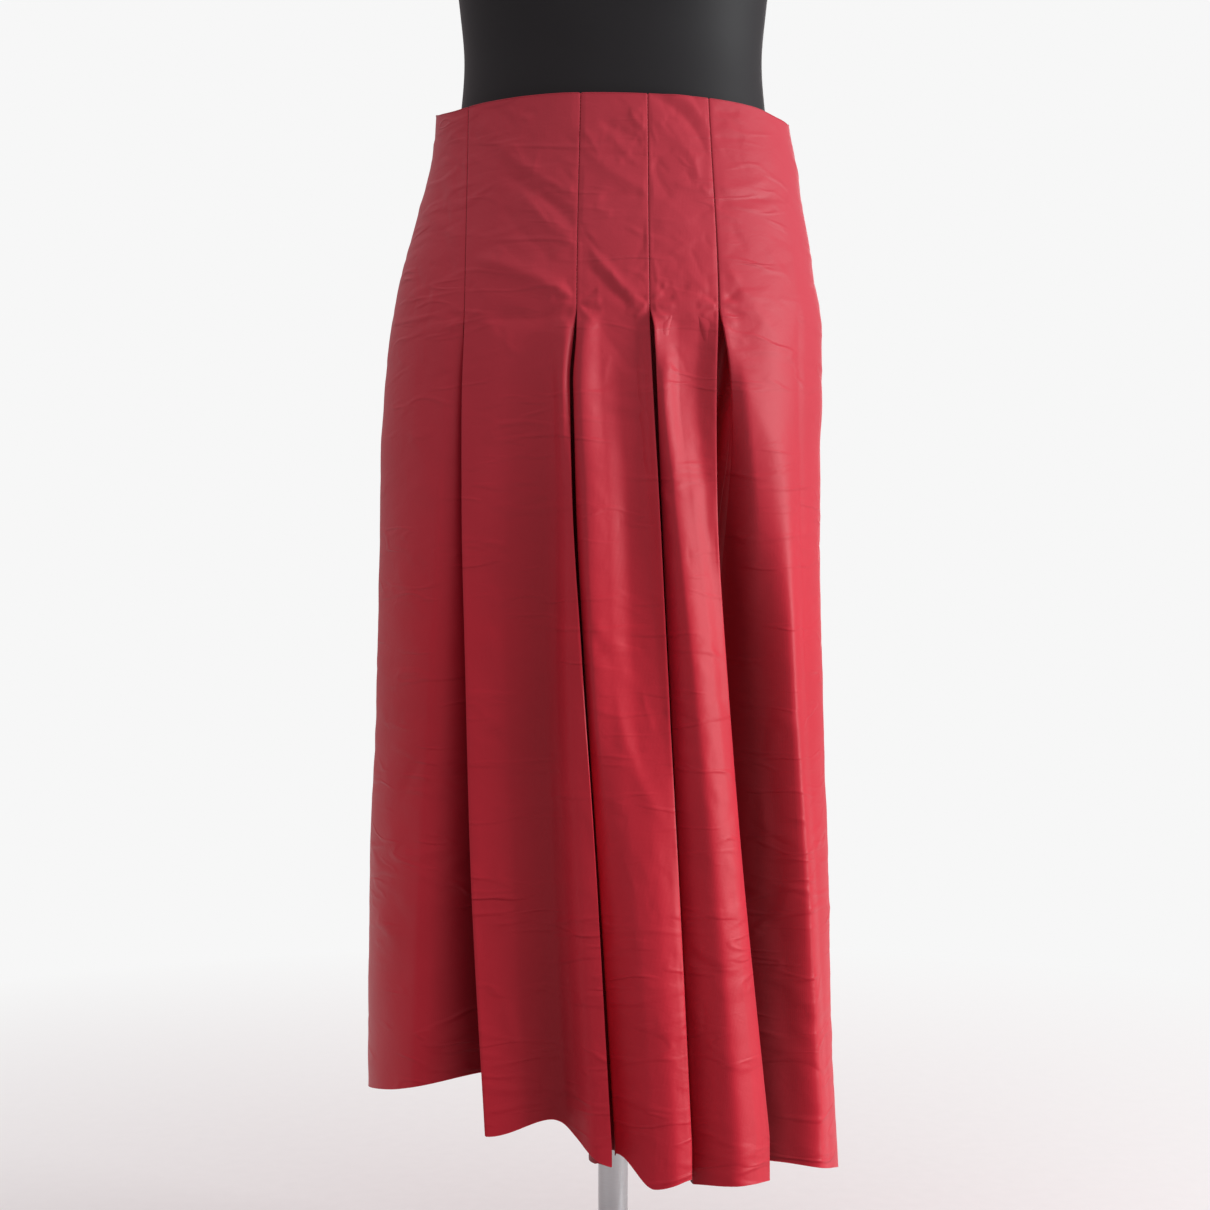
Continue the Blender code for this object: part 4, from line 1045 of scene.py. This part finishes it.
thread, set_shader, add = new_material("red_thread")
place = add("TexCoord").outputs["Object"]
twist = add("TexWave", {"bands_direction": "DIAGONAL"}, Vector=place, Scale=900.0)
shade = two_tone(add, twist.outputs["Fac"], (0.16, 0.004, 0.010), (0.30, 0.008, 0.018))
ply = add("Bump", Height=twist.outputs["Fac"], Strength=0.3, Distance=0.1 * mm)
set_shader(Base_Color=shade, Roughness=0.6, Sheen_Weight=0.1,
           Specular_IOR_Level=0.3, Normal=ply.outputs["Normal"])


def small_rod(radius, length, edge):
    """Points and faces of a short upright rod with bevelled rims, to be repeated."""
    bpy.ops.object.select_all(action="DESELECT")
    bpy.ops.mesh.primitive_cylinder_add(vertices=6, radius=radius, depth=length)
    thing = bpy.context.active_object
    bpy.ops.object.mode_set(mode="EDIT")
    bpy.ops.mesh.select_all(action="SELECT")
    bpy.ops.mesh.bevel(offset=edge, segments=1)
    bpy.ops.object.mode_set(mode="OBJECT")
    points = np.array([vertex.co[:] for vertex in thing.data.vertices])
    faces = [list(face.vertices) for face in thing.data.polygons]
    bpy.data.objects.remove(thing)
    return points, faces


def row_of(name, copies, faces, finish):
    """One piece made of copies of a small shape, each given by its points."""
    count = len(copies[0])
    joined = [[count * step + corner for corner in face]
              for step in range(len(copies)) for face in faces]
    return piece_from_mesh(name, np.vstack(copies).tolist(), joined, finish)


stitch_points, stitch_faces = small_rod(thread_radius, stitch_length, 0.12 * mm)

for number, (name, first, last, _) in enumerate(gores):
    if last not in pleats:
        continue
    after = gores[number + 1][0]
    left = gore_grids[name][:, gore_faces[name][1]]
    right = gore_grids[after][:, gore_faces[after][0]]
    heights = np.arange(stitch_bottom, left[-1, 2] - 2 * mm, stitch_pitch)
    ditch = np.column_stack([
        (np.interp(heights, left[:, 2], left[:, axis])
         + np.interp(heights, right[:, 2], right[:, axis])) / 2 for axis in range(2)
    ] + [heights])
    lean = np.gradient(ditch, axis=0)
    copies = []
    for middle, along in zip(ditch, lean):
        turn = Vector((0, 0, 1)).rotation_difference(Vector(along)).to_matrix()
        copies.append(stitch_points @ np.array(turn).T + middle)
    row = row_of(last + "_stitches", copies, stitch_faces, thread)
    declare(row, skirt_body, "cotton_cloth")

# ---------------------------------------------------------------------------------------
# Stand. A steel cap closes the form's neck. Below, a steel tube on a collar screwed to the
# form's bottom stands in the boss of a flat round base and is held there by a grub screw.
# ---------------------------------------------------------------------------------------
base_radius = 180 * mm
base_thickness = 8 * mm
boss_radius = 26 * mm
boss_height = 34 * mm
pole_radius = 12.5 * mm
collar_radius = 38 * mm
collar_height = 8 * mm
cap_radius = 49 * mm
cap_height = 9 * mm
screw_radius = 3.2 * mm
screw_height = 1.6 * mm

steel, set_shader, add = new_material("satin_steel")
place = add("TexCoord").outputs["Object"]
drawn = add("Mapping", Vector=place, Scale=(90.0, 90.0, 2400.0))
lines = add("TexNoise", Vector=drawn.outputs["Vector"], Scale=1.0, Detail=3.0)
rough = add("MapRange", Value=lines.outputs["Fac"], To_Min=0.26, To_Max=0.42)
tone = two_tone(add, lines.outputs["Fac"], (0.46, 0.46, 0.47), (0.60, 0.60, 0.61))
grain = add("Bump", Height=lines.outputs["Fac"], Strength=0.12, Distance=0.1 * mm)
set_shader(Base_Color=tone, Roughness=rough.outputs["Result"], Metallic=1.0,
           Normal=grain.outputs["Normal"])


def bevelled_disc(name, radius, low, high, edge, sides=128):
    """A turned disc or drum on the pole's axis, with its sharp edges rounded."""
    bpy.ops.object.select_all(action="DESELECT")
    bpy.ops.mesh.primitive_cylinder_add(vertices=sides, radius=radius, depth=high - low,
                                        location=(0, 0, (low + high) / 2))
    thing = bpy.context.active_object
    thing.name = name
    bpy.ops.object.transform_apply(location=True, rotation=True, scale=True)
    apply_modifier(thing, "BEVEL", width=edge, segments=4, limit_method="ANGLE")
    return thing


def socket_screw(place, pitch):
    """A small socket-head screw, turned by its pitch about X, with its hollow outwards."""
    bpy.ops.object.select_all(action="DESELECT")
    bpy.ops.mesh.primitive_cylinder_add(vertices=24, radius=screw_radius, depth=screw_height)
    thing = bpy.context.active_object
    bpy.ops.object.mode_set(mode="EDIT")
    bpy.ops.mesh.select_all(action="DESELECT")
    bpy.ops.object.mode_set(mode="OBJECT")
    for face in thing.data.polygons:
        face.select = face.normal.z > 0.9
    bpy.ops.object.mode_set(mode="EDIT")
    bpy.ops.mesh.inset(thickness=screw_radius * 0.18)
    bpy.ops.mesh.inset(thickness=screw_radius * 0.30)
    bpy.ops.mesh.extrude_region_move(
        TRANSFORM_OT_translate={"value": (0, 0, -screw_height * 0.6)})
    bpy.ops.object.mode_set(mode="OBJECT")
    thing.location = place
    thing.rotation_euler = (pitch, 0, 0)
    bpy.ops.object.transform_apply(location=True, rotation=True, scale=True)
    return thing


def finish_piece(name, parts, finish, body, slot, *nodes):
    """Join the parts as one piece, with its material and body. The slot is not used."""
    bpy.ops.object.select_all(action="DESELECT")
    for part in parts:
        part.data.materials.clear()
        part.data.materials.append(finish)
        part.select_set(True)
    bpy.context.view_layer.objects.active = parts[0]
    if len(parts) > 1:
        bpy.ops.object.join()
    thing = bpy.context.active_object
    thing.name = name
    bpy.ops.object.shade_smooth_by_angle(angle=math.radians(35))
    return declare(thing, body, slot, *nodes)


finish_piece("round_base", [
    bevelled_disc("round_base", base_radius, 0, base_thickness, 2.5 * mm, 192),
    bevelled_disc("boss_foot", boss_radius + 3 * mm, base_thickness - 1 * mm,
                  base_thickness + 1.5 * mm, 1.2 * mm),
    bevelled_disc("boss", boss_radius, base_thickness - 1 * mm, boss_height, 3 * mm),
    socket_screw((0, boss_radius, 24 * mm), -math.pi / 2),
], steel, skirt_body, "stand_steel", "base")

collar_top = form_bottom - gap
collar_low = collar_top - collar_height
collar_parts = [
    bevelled_disc("steel_pole", pole_radius, boss_height + gap, collar_low + 1 * mm, 0.6 * mm, 64),
    bevelled_disc("collar", collar_radius, collar_low, collar_top, 1.5 * mm),
    bevelled_disc("collar_ring", pole_radius + 4 * mm, collar_low - 5 * mm, collar_low + 1 * mm,
                  1.2 * mm, 64),
]
for step in range(3):
    turn = math.pi / 6 + step * 2 * math.pi / 3
    reach = collar_radius - 9 * mm
    collar_parts.append(socket_screw(
        (reach * math.cos(turn), reach * math.sin(turn), collar_low - 0.4 * mm), math.pi))
finish_piece("steel_pole", collar_parts, steel, skirt_body, "stand_steel", "pole")

cap_low = neck_top + gap
finish_piece("neck_cap_plate", [
    bevelled_disc("neck_cap_plate", cap_radius, cap_low, cap_low + cap_height - 1 * mm, 3.5 * mm),
    bevelled_disc("cap_button", cap_radius * 0.30, cap_low + cap_height - 1.5 * mm,
                  cap_low + cap_height, 0.8 * mm, 64),
    socket_screw((0, 0, cap_low + cap_height + 0.2 * mm), 0),
], steel, skirt_body, "stand_steel", "neck_cap")

# ---------------------------------------------------------------------------------------
# Zip. A concealed zip closes the top of the centre-back seam: two woven tapes behind the
# gores, a fine nylon coil between them and a lacquered slider at the top with a pull tab.
# ---------------------------------------------------------------------------------------
zip_length = 0.200
tape_width = 24 * mm
tape_drop = 2 * mm
tape_wall = 0.7 * mm
coil_pitch = 1.25 * mm
coil_radius = 0.42 * mm
coil_width = 2.6 * mm
coil_stand_off = 1.1 * mm
slider_top = 1.024
slider_size = (5.6 * mm, 2.0 * mm, 9.0 * mm)
cheek_size = (0.9 * mm, 3.6 * mm, 3.0 * mm)
cheek_place = 2.25 * mm
bar_radius = 0.7 * mm
bar_stand_off = 2.6 * mm
eye_radius = 2.0 * mm
eye_hole = 1.1 * mm
pull_neck = 2.8 * mm
pull_width = 5.4 * mm
pull_length = 23 * mm
pull_thickness = 1.1 * mm
pull_shoulder = 8 * mm

tape_cloth, set_shader, add = new_material("red_tape")
uv = add("UVMap", {"uv_map": "cloth"}).outputs["UV"]
ribs = add("TexWave", {"bands_direction": "DIAGONAL"}, Vector=uv, Scale=520.0, Distortion=0.2)
shade = two_tone(add, ribs.outputs["Fac"], (0.34, 0.008, 0.018), (0.46, 0.012, 0.026))
weave = add("Bump", Height=ribs.outputs["Fac"], Strength=0.4, Distance=0.15 * mm)
set_shader(Base_Color=shade, Roughness=0.75, Specular_IOR_Level=0.3,
           Normal=weave.outputs["Normal"])

lacquer, set_shader, add = new_material("red_lacquer")
place = add("TexCoord").outputs["Object"]
orange = add("TexNoise", Vector=place, Scale=700.0, Detail=2.0)
shade = two_tone(add, orange.outputs["Fac"], (0.42, 0.010, 0.022), (0.50, 0.014, 0.030))
skin = add("Bump", Height=orange.outputs["Fac"], Strength=0.06, Distance=0.1 * mm)
set_shader(Base_Color=shade, Roughness=0.32, Coat_Weight=0.5,
           Coat_Roughness=0.15, Normal=skin.outputs["Normal"])

tape_top = top_edge[0, 1] - tape_drop
tape_heights = np.linspace(tape_top - zip_length, tape_top, 70)
tape_inset = wall + 2 * gap
for side, name in ((-1, "tape_wearers_left"), (1, "tape_wearers_right")):
    rows = []
    for height in tape_heights:
        outline = Outline(height)
        offsets = side * np.linspace(0.4 * mm, tape_width / 2, 9)
        start = outline.arc[-1] if side < 0 else outline.arc[0]
        x, y = outline.place(start + offsets, np.full(9, tape_inset))
        rows.append(np.column_stack((x, y, np.full(9, height))))
    grid = np.array(rows)
    tape = sheet_from_grid(name, grid, tape_cloth, tape_wall)
    declare(tape, skirt_body, "zip_tape", *(("zip_tape",) if side < 0 else ()))

coil_heights = np.arange(tape_top - zip_length + 4 * mm, slider_top - 10 * mm, coil_pitch)
upright, turns = small_rod(coil_radius, coil_width, 0.15 * mm)
across_zip, turned = upright[:, [2, 1, 0]], [face[::-1] for face in turns]
copies = [across_zip + (0, Outline(height).y[0] - tape_inset - coil_stand_off, height)
          for height in coil_heights]
declare(row_of("zip_coil", copies, turned, lacquer), skirt_body, "zip_tape")

seat_height = slider_top - slider_size[2] / 2
last_row = 1.010
below, above = Outline(last_row).y[0], Outline(top_edge[0, 1]).y[0]
seat_tilt = math.atan2(below - above, top_edge[0, 1] - last_row)
seat_y = below + (above - below) * (seat_height - last_row) / (top_edge[0, 1] - last_row)
seat = Matrix.Translation((0, seat_y, seat_height)) @ Matrix.Rotation(seat_tilt, 4, "X")
lift = wall / 2 + gap + slider_size[1] / 2
cheek_y = lift + slider_size[1] / 2 + cheek_size[1] / 2 - gap
bar_y = lift + slider_size[1] / 2 + bar_stand_off


def rounded_box(size, middle, edge):
    """A bevelled block at a place on the zip's seat."""
    bpy.ops.object.select_all(action="DESELECT")
    bpy.ops.mesh.primitive_cube_add(size=1)
    thing = bpy.context.active_object
    thing.scale = size
    bpy.ops.object.transform_apply(location=False, rotation=False, scale=True)
    bpy.ops.object.mode_set(mode="EDIT")
    bpy.ops.mesh.select_all(action="SELECT")
    bpy.ops.mesh.bevel(offset=edge, segments=3)
    bpy.ops.object.mode_set(mode="OBJECT")
    thing.data.transform(seat @ Matrix.Translation(middle))
    return thing


def rod(radius, length, middle, sides=24):
    """A bevelled rod lying across the zip, at a place on the zip's seat."""
    bpy.ops.object.select_all(action="DESELECT")
    bpy.ops.mesh.primitive_cylinder_add(vertices=sides, radius=radius, depth=length)
    thing = bpy.context.active_object
    thing.data.transform(seat @ Matrix.Translation(middle) @ Matrix.Rotation(math.pi / 2, 4, "Y"))
    return thing


slider_body = rounded_box(slider_size, (0, lift, 0), 0.7 * mm)
to_seat = seat.inverted()
for vertex in slider_body.data.vertices:
    local = to_seat @ vertex.co
    narrow = 0.74 + 0.26 * min(1, max(0, local.z / slider_size[2] + 0.75))
    local.x *= narrow
    vertex.co = seat @ local
finish_piece("slider_body", [
    slider_body,
    rounded_box(cheek_size, (cheek_place, cheek_y, 0), 0.25 * mm),
    rounded_box(cheek_size, (-cheek_place, cheek_y, 0), 0.25 * mm),
    rod(bar_radius, 2 * cheek_place, (0, bar_y, 0)),
], lacquer, skirt_body, "zip_metal", "zip_slider")

outline = [(-pull_neck / 2, 0), (-pull_neck / 2, -pull_shoulder)]
for step in range(13):
    turn = math.pi * step / 12
    outline.append((-pull_width / 2 * math.cos(turn),
                    -pull_length + pull_width / 2 * (1 - math.sin(turn))))
outline += [(pull_neck / 2, -pull_shoulder), (pull_neck / 2, 0)]
plate = piece_from_mesh("pull_plate", [(x, 0, z) for x, z in outline],
                        [list(range(len(outline)))], lacquer)
apply_modifier(plate, "SOLIDIFY", thickness=pull_thickness, offset=0)
apply_modifier(plate, "BEVEL", width=0.3 * mm, segments=3, limit_method="ANGLE")
plate.data.transform(seat @ Matrix.Translation((0, bar_y, -eye_hole)))
bpy.ops.object.select_all(action="DESELECT")
bpy.ops.mesh.primitive_torus_add(major_segments=32, minor_segments=12,
                                 major_radius=(eye_radius + eye_hole) / 2,
                                 minor_radius=(eye_radius - eye_hole) / 2)
eye = bpy.context.active_object
eye.data.transform(seat @ Matrix.Translation((0, bar_y, 0)) @ Matrix.Rotation(math.pi / 2, 4, "Y")
                   @ Matrix.Diagonal((1, 1, pull_neck / (eye_radius - eye_hole), 1)))
finish_piece("pull_plate", [plate, eye], lacquer, pull_body, "zip_metal", "zip_pull")
